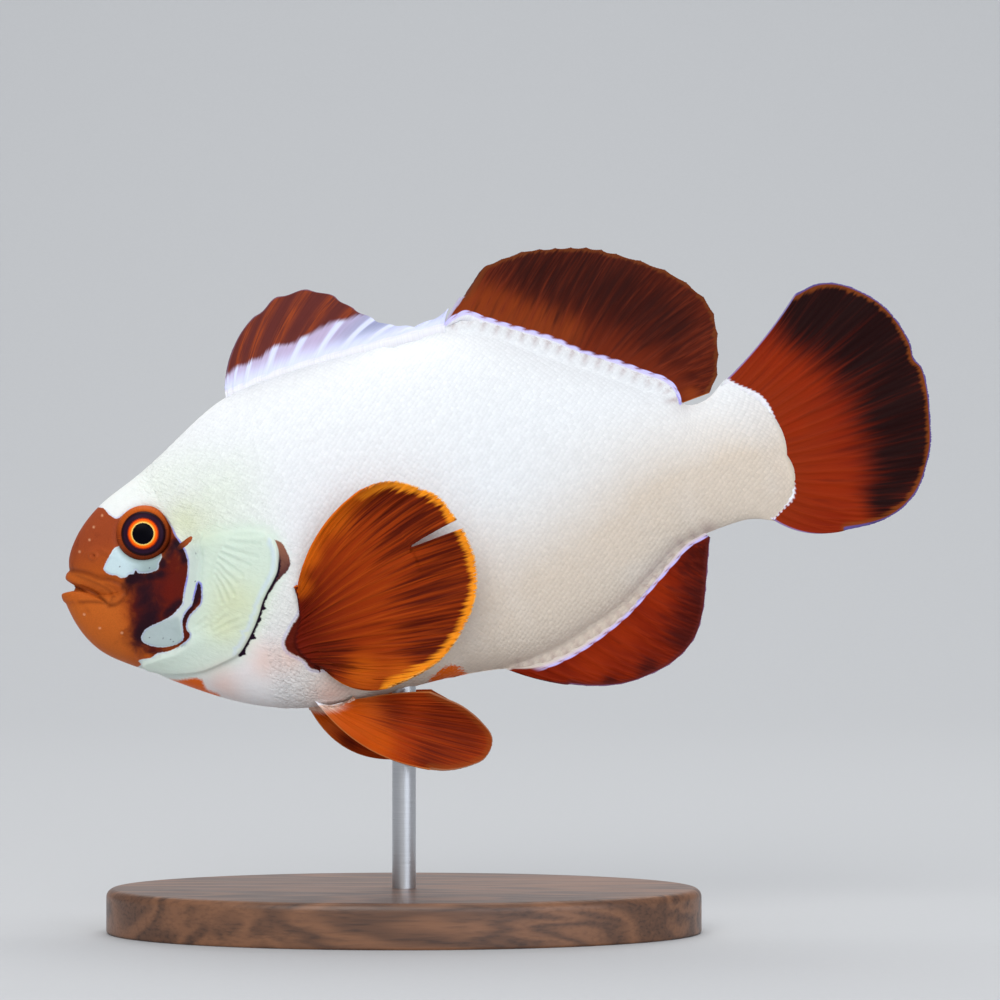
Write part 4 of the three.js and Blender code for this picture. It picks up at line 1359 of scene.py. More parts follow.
ANAL = FinShape(
    "anal_fin",
    root=ANAL_LINE,
    margin=(
        (64.6, -25.4), (68, -26.4), (71.4, -26.8), (75, -26.4), (78, -25.6), (80.6, -24.2), (82.6, -22.3),
        (84.1, -19.4), (85.2, -16), (86.1, -12.8), (86.9, -9.7),
    ),
    rays=14, curl=(-0.04, -0.04, 0), bead=0.06,
    dusk=((85.8, -12.5, 4), (84.4, -18, 4), (81.4, -22.4, 3.6), (75.4, -25.4, 2), (70, -26.4, 1.4)),
    glow=((78.5, -15.5, 3), (68, -23, 3), (73, -20, 3)),
)
PECTORAL = FinShape(
    "pectoral_fin",
    root=((31.6, -5.6), (31.4, -9.4), (30.2, -13), (32.8, -16.8)),
    margin=(
        (42.4, 5.4), (44.5, 5.9), (47, 5.8), (49.8, 4.5), (52.4, 2.6), (53.9, -0.2), (54.8, -2.6),
        (55.5, -6), (55.3, -9.2), (54, -12.6), (51.6, -15.9), (48.4, -18.7), (44.6, -20.2), (41, -21.05),
    ),
    rays=17, curl=(0.1, 0.03, -0.15), per_ray=22, rows=80, tuck=0.4, root_half=0.6, wave=0.3,
    dip=0.06, fray=0.75,
    dusk=(
        (47.5, 2, 7.5), (51.5, -3.4, 6), (51.5, -10, 7), (47.5, -16, 5), (34.2, -15.4, 3.4),
    ),
    glow=((38.5, 2.4, 2.6), (34.2, -1.8, 1.8), (32.4, -5.6, 1.6), (38, -18.4, 3), (43, -19.6, 2.4)),
)
PECTORAL_SLIT: Points = ((47.5, -3.5), (54.4, -2.25), (53.8, -0.85))
NEAR_PELVIC = FinShape(
    "pelvic_fin_left",
    root=((31.2, -22), (33.4, -22.4), (35.8, -21.9)),
    margin=(
        (44.2, -32.7), (46.4, -33.3), (49.4, -33.3), (51.6, -32.7), (52.9, -31.2), (53.1, -29.8),
        (52.2, -27.9), (50.2, -25.4), (48, -23.8), (46.2, -22.6),
    ),
    rays=6, per_ray=40, rows=72, root_half=0.5, splits=(0.2, 0.5), dip=0.05, fray=0.1, wave=0.2,
    curl=(-0.1, 0, 0.03),
    dusk=((41, -24.6, 3), (47, -26.2, 4.2), (50, -29, 4.6), (44.5, -31.2, 3)),
    glow=((35.5, -24, 3.4), (38, -28, 3)),
)
FAR_PELVIC = FinShape(
    "pelvic_fin_right",
    root=((29.4, -21.8), (32, -22.4), (35, -21.9)),
    margin=((41.6, -31.5), (45, -31.7), (47.6, -30.9), (49.2, -28.6), (48.6, -25.4), (46, -22.9)),
    rays=6, per_ray=32, rows=72, root_half=0.5, splits=(0.2, 0.5), dip=0.05, fray=0.1, wave=0.2,
    curl=(-0.18, 0, 0.03),
    dusk=((34, -27.5, 2.4), (42, -28, 4)),
    glow=((31, -23.4, 1.6), (38, -24, 3)),
)
SPINY_WHITE: Points = (
    (26, 22.5), (27.2, 23.9), (28, 24.4), (28.8, 24.9), (30.2, 25), (31, 25.4), (32.2, 25.5), (33.4, 26.2),
    (34.6, 26.7), (36, 26.5), (37.2, 26.6), (38, 27.1), (39.4, 27.3), (41, 27.9), (42.6, 28.4),
    (44.4, 28.3), (46, 28.6), (47.4, 28.8), (48.2, 30.5), (60, 31), (60, 20), (26, 18),
)


# ---- eyes, cheek spines and stand
@dataclass(frozen=True)
class Eye:
    """An eye: a domed ball with a raised outer ring, a groove round the iris and a proud pupil."""

    side: Side
    radius: float = EYE_RADIUS
    bulge: float = 2.2
    depth: float = 5.9  # of its widest circle, from the middle plane
    groove: float = 2.95  # where the iris meets the outer ring
    pupil: float = 1.45
    rings: int = 110
    spokes: int = 128

    def surface(self) -> Surface:
        """The eye, turned round its axis.

        Its front stands at bulge times the height of a unit circle over r, less a groove, plus the outer
        ring's swell and the pupil's dome. Its back is a shallow bowl.
        """
        r = self.radius * np.sin(np.linspace(0, math.pi / 2, self.rings))[::-1]
        front = self.bulge * np.sqrt(np.maximum(0, 1 - (r / self.radius) ** 2))
        front = front - 0.13 * hump(r - self.groove, 0.13) + 0.07 * hump(r - 3.35, 0.22)
        front = front + 0.09 * fade(r, self.pupil - 0.5, self.pupil + 0.25)
        front = front - 0.09 - 0.04 * hump(r - 2.1, 0.12)
        back = np.linspace(0, self.radius, 14)[:-1]
        bowl = -1.4 * np.sqrt(1 - (back / self.radius) ** 2)
        profile = np.vstack([rows_of(back, bowl), rows_of(r, front)])
        eye = revolved(profile, self.spokes)
        across, up, out = eye.points.T
        eye.points = rows_of(EYE_X + across, self.side.value * (self.depth + out), EYE_Z + up)
        if self.side is Side.RIGHT:
            eye.faces = [rows[:, ::-1] for rows in eye.faces]
        return eye


@dataclass(frozen=True)
class CheekSpine:
    """The blunt spine that points back from under the eye."""

    side: Side
    root: Place = (16.5, 7.75, 2.2)
    tip: Place = (19.3, 8.6, 3.65)
    half_height: float = 0.6
    tip_share: float = 0.68  # of its height that is left near the tip
    thinness: float = 0.6
    sag: float = 0.12

    def surface(self) -> Surface:
        """A profile turned round the z axis, flattened, and laid along a path with a slight sag."""
        t = np.linspace(0, 1, 26)
        r = self.half_height * (self.tip_share + (1 - self.tip_share) * (1 - t) ** 1.3) * np.sqrt(1 - t**8)
        profile = np.vstack([[0, 0], rows_of(r, t)])
        spine = revolved(profile, 28)
        across, thick, along = spine.points.T
        start, end = np.array(self.root), np.array(self.tip)
        ahead = (end - start) / norm(end - start)
        up = np.cross(ahead, [0, 1, 0])
        up = up / norm(up) * np.sign(up[2])
        flat = np.cross(up, ahead)
        way = start + along[:, None] * (end - start) - up * (self.sag * 4 * along * (1 - along))[:, None]
        points = way + up * across[:, None] + flat * (thick * self.thinness)[:, None]
        spine.values["length"] = along
        turn = np.sign(np.dot(np.cross(up, flat), ahead)) * self.side.value
        spine.points = points * [1, self.side.value, 1]
        spine.faces = [rows if turn > 0 else rows[:, ::-1] for rows in spine.faces]
        return spine


@dataclass(frozen=True)
class Stand:
    """The display stand: an oval base with a rounded edge, and a rod up into the belly."""

    edge_round: float = 1.2
    foot_round: float = 0.4

    def base(self) -> Surface:
        """A quarter-round edge turned round the z axis and squeezed to the oval, in metres."""
        low, high = (np.array(corner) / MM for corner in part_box("stand_base"))
        long, wide, height = high[0], high[1], high[2]
        turn = np.linspace(0, math.pi / 2, 12)
        edge, foot = self.edge_round, self.foot_round
        bottom = rows_of(long - foot + foot * np.sin(turn), foot - foot * np.cos(turn))
        top = rows_of(long - edge + edge * np.cos(turn), height - edge + edge * np.sin(turn))
        inner = np.array([0.3, 0.6, 0.85, 0.97]) * (long - edge)
        under = rows_of(inner, 0 * inner)
        over = rows_of(inner[::-1], height + 0 * inner)
        profile = np.vstack([[0, 0], under, bottom, top, over, [0, height]])
        base = revolved(profile, 192)
        base.points = base.points * [MM, MM * wide / long, MM]
        return base

    def rod(self) -> Surface:
        """A straight round bar from inside the base to inside the belly, in metres."""
        low, high = (np.array(corner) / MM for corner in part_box("stand_rod"))
        radius = high[0]
        z = np.linspace(low[2], high[2], 24)
        side = rows_of(np.full(len(z), radius), z)
        inner = radius - 0.2
        profile = np.vstack([[0, low[2]], [inner, low[2]], side, [inner, high[2]], [0, high[2]]])
        rod = revolved(profile, 64)
        rod.points = rod.points * MM
        return rod


# ---- shader maths
def paint(colour: Colour) -> tuple[float, ...]:
    """A colour's linear values and a 1, from its screen values by the screen's own curve."""
    share = np.array([int(colour[k : k + 2], 16) for k in (0, 2, 4)]) / 255
    linear = np.where(share <= 0.04045, share / 12.92, ((share + 0.055) / 1.055) ** 2.4)
    return (*map(float, linear), 1.0)


def operator(operation: str, swapped: bool = False) -> Callable[["Signal", "Signal | float"], "Signal"]:
    """A method of Signal that adds one Math node on itself and another value, or on them swapped."""
    return lambda a, b: a.math(operation, b, a) if swapped else a.math(operation, a, b)


class Signal:
    """A number that varies over a surface. Arithmetic on it adds Math nodes."""

    def __init__(self, shader: "Shader", socket: Socket) -> None:
        """Keeps the socket, and the shader that new nodes go into."""
        self.shader = shader
        self.socket = socket

    def math(self, operation: str, *values: "Signal | float") -> "Signal":
        """Adds a Math node of one operation on the values."""
        node = self.shader.node("ShaderNodeMath", {"operation": operation}, dict(enumerate(values)))
        return Signal(self.shader, node.outputs[0])

    __add__ = __radd__ = operator("ADD")
    __sub__ = operator("SUBTRACT")
    __rsub__ = operator("SUBTRACT", swapped=True)
    __mul__ = __rmul__ = operator("MULTIPLY")
    __truediv__ = operator("DIVIDE")
    larger = operator("MAXIMUM")

    def __abs__(self) -> "Signal":
        """The size of this."""
        return self.math("ABSOLUTE", self)

    def sine(self) -> "Signal":
        """The sine of this."""
        return self.math("SINE", self)

    def rise(self, low: float, high: float) -> "Signal":
        """Rises smoothly from 0 where this is low to 1 where it is high."""
        settings = {"interpolation_type": "SMOOTHSTEP"}
        node = self.shader.node("ShaderNodeMapRange", settings, {0: self, 1: low, 2: high})
        return Signal(self.shader, node.outputs[0])

    def near(self, middle: float, width: float) -> "Signal":
        """Is 1 where this is middle and falls smoothly to 0 at width on either side."""
        return 1 - abs(self - middle).rise(0, width)


class Shader:
    """A material's nodes."""

    def __init__(self, name: str) -> None:
        """Starts a material that holds only its output."""
        self.material = bpy.data.materials.new(name)
        self.material.use_nodes = True
        self.tree = self.material.node_tree
        self.tree.nodes.clear()

    def node(self, kind: str, settings: dict | None = None, inputs: dict | None = None) -> bpy.types.Node:
        """Adds any node.

        Args:
            kind: the node's type.
            settings: its properties; a ramp's "stops" are pairs of place and colour.
            inputs: values or links of its sockets, by name or number.

        Returns:
            The node.
        """
        node = self.tree.nodes.new(kind)
        for key, value in (settings or {}).items():
            if key == "stops":
                elements = node.color_ramp.elements
                for place, _ in value[2:]:
                    elements.new(place)
                for element, (place, colour) in zip(elements, value):
                    element.position, element.color = place, paint(colour)
            else:
                setattr(node, key, value)
        for key, value in (inputs or {}).items():
            socket = value.socket if isinstance(value, Signal) else value
            if isinstance(socket, Socket):
                self.tree.links.new(socket, node.inputs[key])
            else:
                node.inputs[key].default_value = paint(value) if isinstance(value, str) else value
        return node

    def __getitem__(self, name: str) -> Signal:
        """A named value of the mesh's points."""
        return Signal(self, self.node("ShaderNodeAttribute", {"attribute_name": name}).outputs["Fac"])

    def place(self) -> Socket:
        """Object coordinates, in metres."""
        return self.node("ShaderNodeTexCoord").outputs["Object"]

    def map(self, name: str) -> Socket:
        """One of the piece's own maps."""
        return self.node("ShaderNodeUVMap", {"uv_map": name}).outputs[0]

    def stretched(self, place: Socket, by: Place) -> Socket:
        """A place times a vector, to make a pattern long or short."""
        return self.node("ShaderNodeVectorMath", {"operation": "MULTIPLY"}, {0: place, 1: by}).outputs[0]

    def noise(self, place: Socket, scale: float | Place, detail: float = 2, warp: float = 0) -> Signal:
        """Noise of a place, about 0.5 on average. A scale of three numbers stretches the place."""
        if isinstance(scale, tuple):
            place, scale = self.stretched(place, scale), 1
        inputs = {"Vector": place, "Scale": scale, "Detail": detail, "Distortion": warp}
        return Signal(self, self.node("ShaderNodeTexNoise", None, inputs).outputs[0])

    def blend(self, share: Signal, under: Colour | Socket, over: Colour | Socket) -> Socket:
        """Colours mixed: under where share is 0 and over where it is 1."""
        settings = {"data_type": "RGBA", "clamp_factor": True}
        return self.node("ShaderNodeMix", settings, {0: share, 6: under, 7: over}).outputs[2]

    def layers(self, colour: Colour | Socket, *layers: tuple[Signal, Colour | Socket]) -> Socket:
        """Lays colours over the first one, each where its share is 1."""
        for share, layer in layers:
            colour = self.blend(share, colour, layer)
        return colour

    def shade(self, colour: Colour | Socket, by: Signal) -> Socket:
        """A colour times a number."""
        grey = self.node("ShaderNodeCombineColor", None, {0: by, 1: by, 2: by}).outputs[0]
        settings = {"data_type": "RGBA", "blend_type": "MULTIPLY"}
        return self.node("ShaderNodeMix", settings, {0: 1.0, 6: colour, 7: grey}).outputs[2]

    def bump(self, height: Signal, distance: float, strength: float = 1.0) -> Socket:
        """A normal from a height, where distance is the height of 1 in metres."""
        inputs = {"Height": height, "Distance": distance, "Strength": strength}
        return self.node("ShaderNodeBump", None, inputs).outputs[0]

    def finished(self, inputs: dict) -> Material:
        """Puts a Principled shader with these inputs on the output and gives the material."""
        surface = self.node("ShaderNodeBsdfPrincipled", None, inputs).outputs[0]
        self.node("ShaderNodeOutputMaterial", None, {"Surface": surface})
        return self.material


# ---- finishes
@dataclass(frozen=True)
class SkinFinish:
    """The fish's skin and scales: white, with the brown face and its blue-edged patches."""

    name: str = "clownfish_skin"
    scaled: bool = False
    white: Colour = "f0f3f6"
    # beige_and_shade: the warm beige of the lower body, partly its own tint and partly painted shade
    beige_and_shade: Colour = "ded0c0"
    tint: Colour = "eaf3e4"
    cover: Colour = "cce0ce"
    cream: Colour = "d6dcb2"
    cool: Colour = "c4d6ff"
    blush: Colour = "ecbeac"
    # stroke: the colour of the painted shadow below the soft dorsal and anal fin bases
    stroke: Colour = "a07a78"
    lavender: Colour = "b2aaf6"
    patch: Colour = "cee4ea"
    grey: Colour = "9eb2b2"
    forehead: Colour = "9c4624"
    snout: Colour = "b2541c"
    chin: Colour = "c26424"
    cheek: Colour = "5c190e"
    cheek_dark: Colour = "260e18"
    cheek_red: Colour = "68160c"
    # crease: the colour of the painted shade in the lip creases
    crease: Colour = "42160a"
    blue: Colour = "685cdc"
    margin: Colour = "220e22"
    flap_top: Colour = "92604c"
    flap_low: Colour = "4e2a2e"
    maroon: Colour = "60180a"
    orange: Colour = "e6681a"
    pore: Colour = "e8aa82"
    speck: Colour = "5a5c6c"
    slant: float = math.radians(21)  # of the wrinkles behind the eye, down from level

    def build(self) -> Material:
        """Lays the markings over one another and adds the skin's fine grain."""
        s = Shader(self.name)
        place = s.place()
        jag = s.noise(place, 3200, 3) - 0.5
        mottle = s.noise(place, 420, 4, 0.4)
        cloud = s.noise(place, 95, 3)
        grain = s.noise(place, 5200, 2)
        gill, low = s["gill_mm"], s["flap_low"]
        face = s["face_mm"] + jag * 0.2
        fringe = s["fringe"] * 0.75 + 0.22
        rim = face.near(-0.12, 0.26) * fringe * mottle.rise(0.3, 0.6)
        flap = (s["flap_mm"] + jag * 0.3).rise(-0.08, 0.1)
        dark = 1 - (s["gill_edge_mm"] + jag * 0.4).rise(0.2, 0.42)
        pectoral = s["pectoral_mm"] + jag * 0.35
        body = s.layers(
            self._pale(s, jag, cloud),
            (rim * face.rise(-0.45, 0), self.blue),
            (face.rise(-0.06, 0.06), self._face(s, mottle, grain)),
            (flap * gill.rise(0, -0.15), s.blend(low + (mottle - 0.5) * 0.7, self.flap_top, self.flap_low)),
            (dark * gill.rise(0.12, -0.05) * low.rise(0, 0.6), self.margin),
            (pectoral.near(-0.25, 0.35) * 0.22, self.blue),
            (pectoral.rise(-0.15, 0.15), self.maroon),
        )
        if self.scaled:
            # painted shade darkens each scale's rear edge; scale_tint varies its tone at random
            body = s.shade(body, 1.05 - 0.11 * s["scale_rim"] + 0.025 * s["scale_tint"])
        slant = {"Vector": place, "Rotation": (0, self.slant, 0), "Scale": (0.002, 0.0014, 0.0006)}
        slanted = s.node("ShaderNodeMapping", {"vector_type": "TEXTURE"}, slant).outputs[0]
        folds = s.noise(slanted, 1, 3, 0.4)
        ridges = (1 - abs(folds - 0.5) * 7).larger(0.0) * s["crinkle"]
        # painted shade: the colour is darker in the wrinkle grooves, besides their bump
        body = s.shade(body, 1.02 - 0.045 * ridges)
        pebbles = s.noise(place, 1700, 2) * face.rise(0.0, -0.3)
        plain = 1.0 if self.scaled else 1 - 0.05 * face.rise(0.0, -0.3)
        body = s.shade(body, plain - 0.02 + 0.05 * pebbles)
        height = grain * 0.5 + 0.3 * mottle - 1.8 * ridges
        return s.finished({
            "Base Color": s.shade(body, 0.96 + 0.08 * grain),
            "Roughness": 0.38 + 0.14 * grain,
            "Normal": s.bump(height if self.scaled else height + 1.6 * pebbles, 0.00004, 0.8),
            "Subsurface Weight": 0.12,
            "Subsurface Radius": (0.0012, 0.0009, 0.0008),
            "Subsurface Scale": 1,
            "Specular IOR Level": 0.07,
        })

    def _pale(self, s: "Shader", jag: Signal, cloud: Signal) -> Socket:
        """The colour of everything but the face.

        Args:
            s: the material's nodes.
            jag: fine noise that roughens the edges of markings.
            cloud: broad noise.

        Returns:
            The colour.
        """
        base = s["base_mm"]
        strip = s["gill_edge_mm"].near(0.7, 0.6) * s["gill_mm"].rise(0.1, 0.4)
        return s.layers(
            self.white,
            # warm beige low and at the rear, partly painted shade of the lower flank
            (s["warm"] * (0.7 + 0.6 * cloud), self.beige_and_shade),
            (s["green"] * 0.8 * cloud.rise(0.15, 0.6), self.tint),
            (s["gill_mm"].rise(-2.5, 1) * 0.75, self.cover),
            (s["cream"] * 0.7, self.cream),
            (strip * 0.3, self.cool),
            (s["blush"] * cloud.rise(0.2, 0.6) * 0.55, self.blush),
            # painted shadow: a faint shade within 2.6 mm of the fin bases, stronger in short strokes, as
            # under the fins' edges
            (base.rise(2.6, 0.4) * (0.08 + 0.45 * s["stroke"]), self.stroke),
            ((base + jag * 0.4).rise(0.3, 0.05), self.lavender),
            # the under-eye patch, greyer by grey: its rear part, and a painted shadow round the eye
            (s["patch_mm"].rise(-0.2, 0.25), s.blend(s["grey"], self.patch, self.grey)),
            (s["low_patch"] * 0.8, self.grey),
            (s["speck"].rise(0.3, 0.7) * 0.8, self.speck),
            ((s["orange_mm"] + jag * 0.5).rise(-0.35, 0.2), self.orange),
        )

    def _face(self, s: "Shader", mottle: Signal, grain: Signal) -> Socket:
        """The colour of the face.

        Args:
            s: the material's nodes.
            mottle: noise of about two millimetres.
            grain: fine noise.

        Returns:
            The colour.
        """
        uneven = mottle - 0.5
        colour = s.layers(
            self.snout,
            (s["forehead"], self.forehead),
            (s["chin"] * 0.8, self.chin),
            # painted highlight on the lips, in the chin's orange
            (s["lip"] * (0.2 + 0.6 * mottle), self.chin),
            ((s["cheek"] + uneven * 1.4).rise(0.1, 0.9), self.cheek),
            (s["cheek_red"] * 0.6, self.cheek_red),
            ((s["cheek_dark"] + uneven * 1.3).rise(0.05, 1.1), self.cheek_dark),
            # painted shade: the lip creases darkened in colour
            (s["crease"] * 0.6, self.crease),
            (s["pore"].rise(0.2, 0.8) * 0.6, self.pore),
        )
        return s.shade(colour, 0.86 + 0.28 * grain)


@dataclass(frozen=True)
class FinFinish:
    """A fin's colours: from its root to its middle, in soft places, along its rays and at its margins."""

    name: str
    root: Colour
    middle: Colour
    dusk: Colour
    glow: Colour
    ray: Colour
    streak: Colour
    rim: Colour
    edge: Colour
    side: Colour
    sheath: Colour
    tucked: Colour  # just under the root, where the body's edge may leave it in sight
    below: Colour = "ececf2"  # further under it
    front: Colour = "c86414"
    front_rays: float = 0.0  # how many rays at the front have the colour of the front
    sheath_from: float = -2.0  # the ray where the sheath's own colour starts
    dusk_streaks: float = 0.9  # how far streaks break up the dusk
    dusk_share: float = 1.0  # how strong the dusk is
    root_fade: float = 0.0  # how far out the root is as pale as the body
    rim_mm: float = 0.5
    rim_wander: float = 0.5  # how far noise moves the rim
    rim_strength: float = 0.8
    edge_mm: float = 0.25
    edge_strength: float = 0.7
    side_mm: float = 0.2
    ray_strength: float = 0.5
    streak_strength: float = 0.5
    white: Colour | None = None  # of the root, where it is white like the body
    clear: Colour | None = None  # between the rays there
    haze: Colour | None = None  # what is clear behind

    def build(self) -> Material:
        """Blends the broad colours first, then streaks and rays, then margins and the sheath."""
        s = Shader(self.name)
        rays = s.map("Rays")
        along = Signal(s, s.node("ShaderNodeSeparateXYZ", None, {0: rays}).outputs[1])
        edge, base, ray, number = s["edge_mm"], s["root_mm"], s["ray"], s["ray_number"]
        fine = s.noise(rays, (170, 2.6, 1), 3, 0.2)
        broad = s.noise(rays, (44, 1.6, 1), 3, 0.4)
        streaks = s.noise(rays, (85, 2, 1), 3, 0.3)
        uneven = (broad - 0.5) * 0.7 + (fine - 0.5) * 0.4
        bare = along.rise(0.02, 0.2) * fine.rise(0.3, 0.65)
        dusk = s["dusk"] * self.dusk_share + (broad - 0.5) * 0.5 + (streaks - 0.5) * self.dusk_streaks
        wander = edge + (fine + streaks - 1) * self.rim_wander + (broad - 0.5) * self.rim_wander * 0.7
        colour = s.layers(
            self.root,
            (along.rise(0, 0.5), self.middle),
            ((s["glow"] + uneven * 0.7).rise(0.1, 1.1), self.glow),
            (broad.rise(0.5, 0.8) * self.streak_strength, self.streak),
            (ray * bare * self.ray_strength, self.ray),
            (fine.rise(0.58, 0.8) * self.streak_strength, self.streak),
            (dusk.rise(0.1, 1.1), self.dusk),
            (wander.rise(self.rim_mm, self.rim_mm * 0.4) * self.rim_strength, self.rim),
            (edge.rise(self.edge_mm, self.edge_mm * 0.4) * self.edge_strength, self.edge),
            (s["side_mm"].rise(self.side_mm, self.side_mm * 0.4) * 0.8, self.side),
        )
        if self.front_rays:
            front = (number + uneven * 0.8).rise(self.front_rays, 0)
            colour = s.blend(front * 0.85, colour, self.front)
        if self.white:
            clear = s.blend(number.rise(5.5, 7.5), self.clear, self.haze)
            root = (base + uneven).rise(2.6, 0.2)
            pale = s.layers(clear, (ray.rise(0.4, 0.95), self.white), (root, self.white))
            colour = s.blend((s["white_mm"] + (fine - 0.5) * 0.9).rise(-0.45, 0.3), colour, pale)
        if self.root_fade:
            root = (base + uneven * 1.5).rise(self.root_fade, 0) * number.rise(4.5, 1.5)
            colour = s.blend(root, colour, self.tucked)
        shown = number.rise(self.sheath_from, self.sheath_from + 1)
        colour = s.layers(
            colour,
            (s["sheath"].rise(0.35, 0.75) * shown, self.sheath),
            (base.rise(0.05, -0.15) * shown, self.tucked),
            (base.rise(-0.2, -0.45), self.below),
        )
        return s.finished({
            "Base Color": s.shade(colour, 0.84 + 0.32 * fine),
            "Roughness": 0.45 + 0.14 * fine,
            "Normal": s.bump(fine * 0.6 + ray * 0.4, 0.00003, 0.5),
            "Subsurface Weight": 0.04,
            "Subsurface Radius": (0.0008, 0.0003, 0.0001),
            "Subsurface Scale": 1,
            "Specular IOR Level": 0.04,
        })


@dataclass(frozen=True)
class EyeFinish:
    """The eye: black pupil, bright inner ring, dark iris and a brown outer ring, with painted light at its
    top and front and painted shade below.
    """

    name: str = "clownfish_eye"
    radius: float = EYE_RADIUS
    outer_top_lit: Colour = "be581a"
    outer_left_lit: Colour = "9c3e14"
    outer_low_shade: Colour = "5c200a"

    def build(self) -> Material:
        """Reads the rings from the distance to the axis, and streaks them from the centre out."""
        s = Shader(self.name)
        radius, spoke = s["radius"], s["spoke"]
        inputs = {"W": spoke * 16, "Scale": 1, "Detail": 2}
        streak = Signal(s, s.node("ShaderNodeTexNoise", {"noise_dimensions": "1D"}, inputs).outputs[0])
        at = (radius + (streak - 0.5) * 0.2) / self.radius
        rings = (
            (0, "030308"), (1.4, "04040a"), (1.46, "ffe282"), (1.56, "ffb03c"), (1.68, "ff6c0c"),
            (1.88, "fa5404"), (2.02, "962a0c"), (2.14, "281222"), (2.5, "2e182c"), (2.74, "22111a"),
            (2.9, "281012"), (3.06, "682a10"), (3.3, "903e16"), (3.75, "622412"),
        )
        stops = {"stops": [(mm / self.radius, colour) for mm, colour in rings]}
        up, ahead = spoke.sine(), (spoke + math.pi / 2).sine()
        # painted light and shade on the outer ring: lighter at the top and towards the nose, darker at the
        # bottom
        outer = radius.rise(2.9, 3.05)
        colour = s.layers(
            s.node("ShaderNodeValToRGB", stops, {0: at}).outputs[0],
            (outer * ahead.rise(0, -1) * 0.6, self.outer_left_lit),
            (outer * up.rise(-0.1, 1) * 0.9, self.outer_top_lit),
            (outer * up.rise(0, -0.9) * 0.8, self.outer_low_shade),
        )
        return s.finished({
            "Base Color": s.shade(colour, 0.8 + 0.4 * streak),
            "Roughness": 0.3 + 0.15 * outer,
            "Specular IOR Level": 0.04,
        })


@dataclass(frozen=True)
class SpineFinish:
    """The cheek spine: brown at its root and orange towards its tip."""

    name: str = "clownfish_spine"
    root: Colour = "3a1414"
    tip: Colour = "a04c22"

    def build(self) -> Material:
        """Blends along the spine and adds faint lengthwise grain."""
        s = Shader(self.name)
        grain = s.noise(s.place(), (700, 3000, 3000), 3)
        colour = s.blend(s["length"].rise(0.15, 0.75), self.root, self.tip)
        return s.finished({
            "Base Color": s.shade(colour, 0.8 + 0.4 * grain),
            "Roughness": 0.38 + 0.15 * grain,
            "Normal": s.bump(grain, 0.00003, 0.6),
            "Specular IOR Level": 0.1,
        })


@dataclass(frozen=True)
class WoodFinish:
    """Oiled walnut, with grain along the base."""

    name: str = "walnut"
    pale: Colour = "7e5438"
    dark: Colour = "3e261a"

    def build(self) -> Material:
        """Rings of a log seen from its side: waves bent by noise, with fine pores."""
        s = Shader(self.name)
        place = s.stretched(s.place(), (9, 60, 60))
        bent = s.noise(place, 1.4, 3, 0.6)
        rings = (bent * 46).sine() * 0.5 + 0.5
        pores = s.noise(s.place(), (160, 2600, 2600), 2)
        colour = s.blend(rings * 0.65 + pores.rise(0.4, 0.8) * 0.35, self.pale, self.dark)
        return s.finished({
            "Base Color": colour,
            "Roughness": 0.36 + 0.2 * pores,
            "Normal": s.bump(pores, 0.00005, 0.4),
            "Coat Weight": 0.25,
            "Coat Roughness": 0.25,
        })


@dataclass(frozen=True)
class SteelFinish:
    """Brushed steel, with fine lines round the rod."""

    name: str = "brushed_steel"
    metal: Colour = "c4c6ca"

    def build(self) -> Material:
        """Fine lines across the length, in roughness and relief."""
        s = Shader(self.name)
        lines = s.noise(s.place(), (300, 300, 9000), 3)
        return s.finished({
            "Base Color": s.shade(self.metal, 0.85 + 0.3 * lines),
            "Metallic": 1.0,
            "Roughness": 0.22 + 0.2 * lines,
            "Normal": s.bump(lines, 0.00001, 0.5),
        })


@dataclass(frozen=True)
class PaperFinish:
    """The pale backdrop."""

    name: str = "studio_paper"
    grey: Colour = "babdc1"

    def build(self) -> Material:
        """Matt paper with a faint tooth."""
        s = Shader(self.name)
        tooth = s.noise(s.place(), 900, 2)
        return s.finished({"Base Color": s.shade(self.grey, 0.98 + 0.04 * tooth), "Roughness": 0.9})


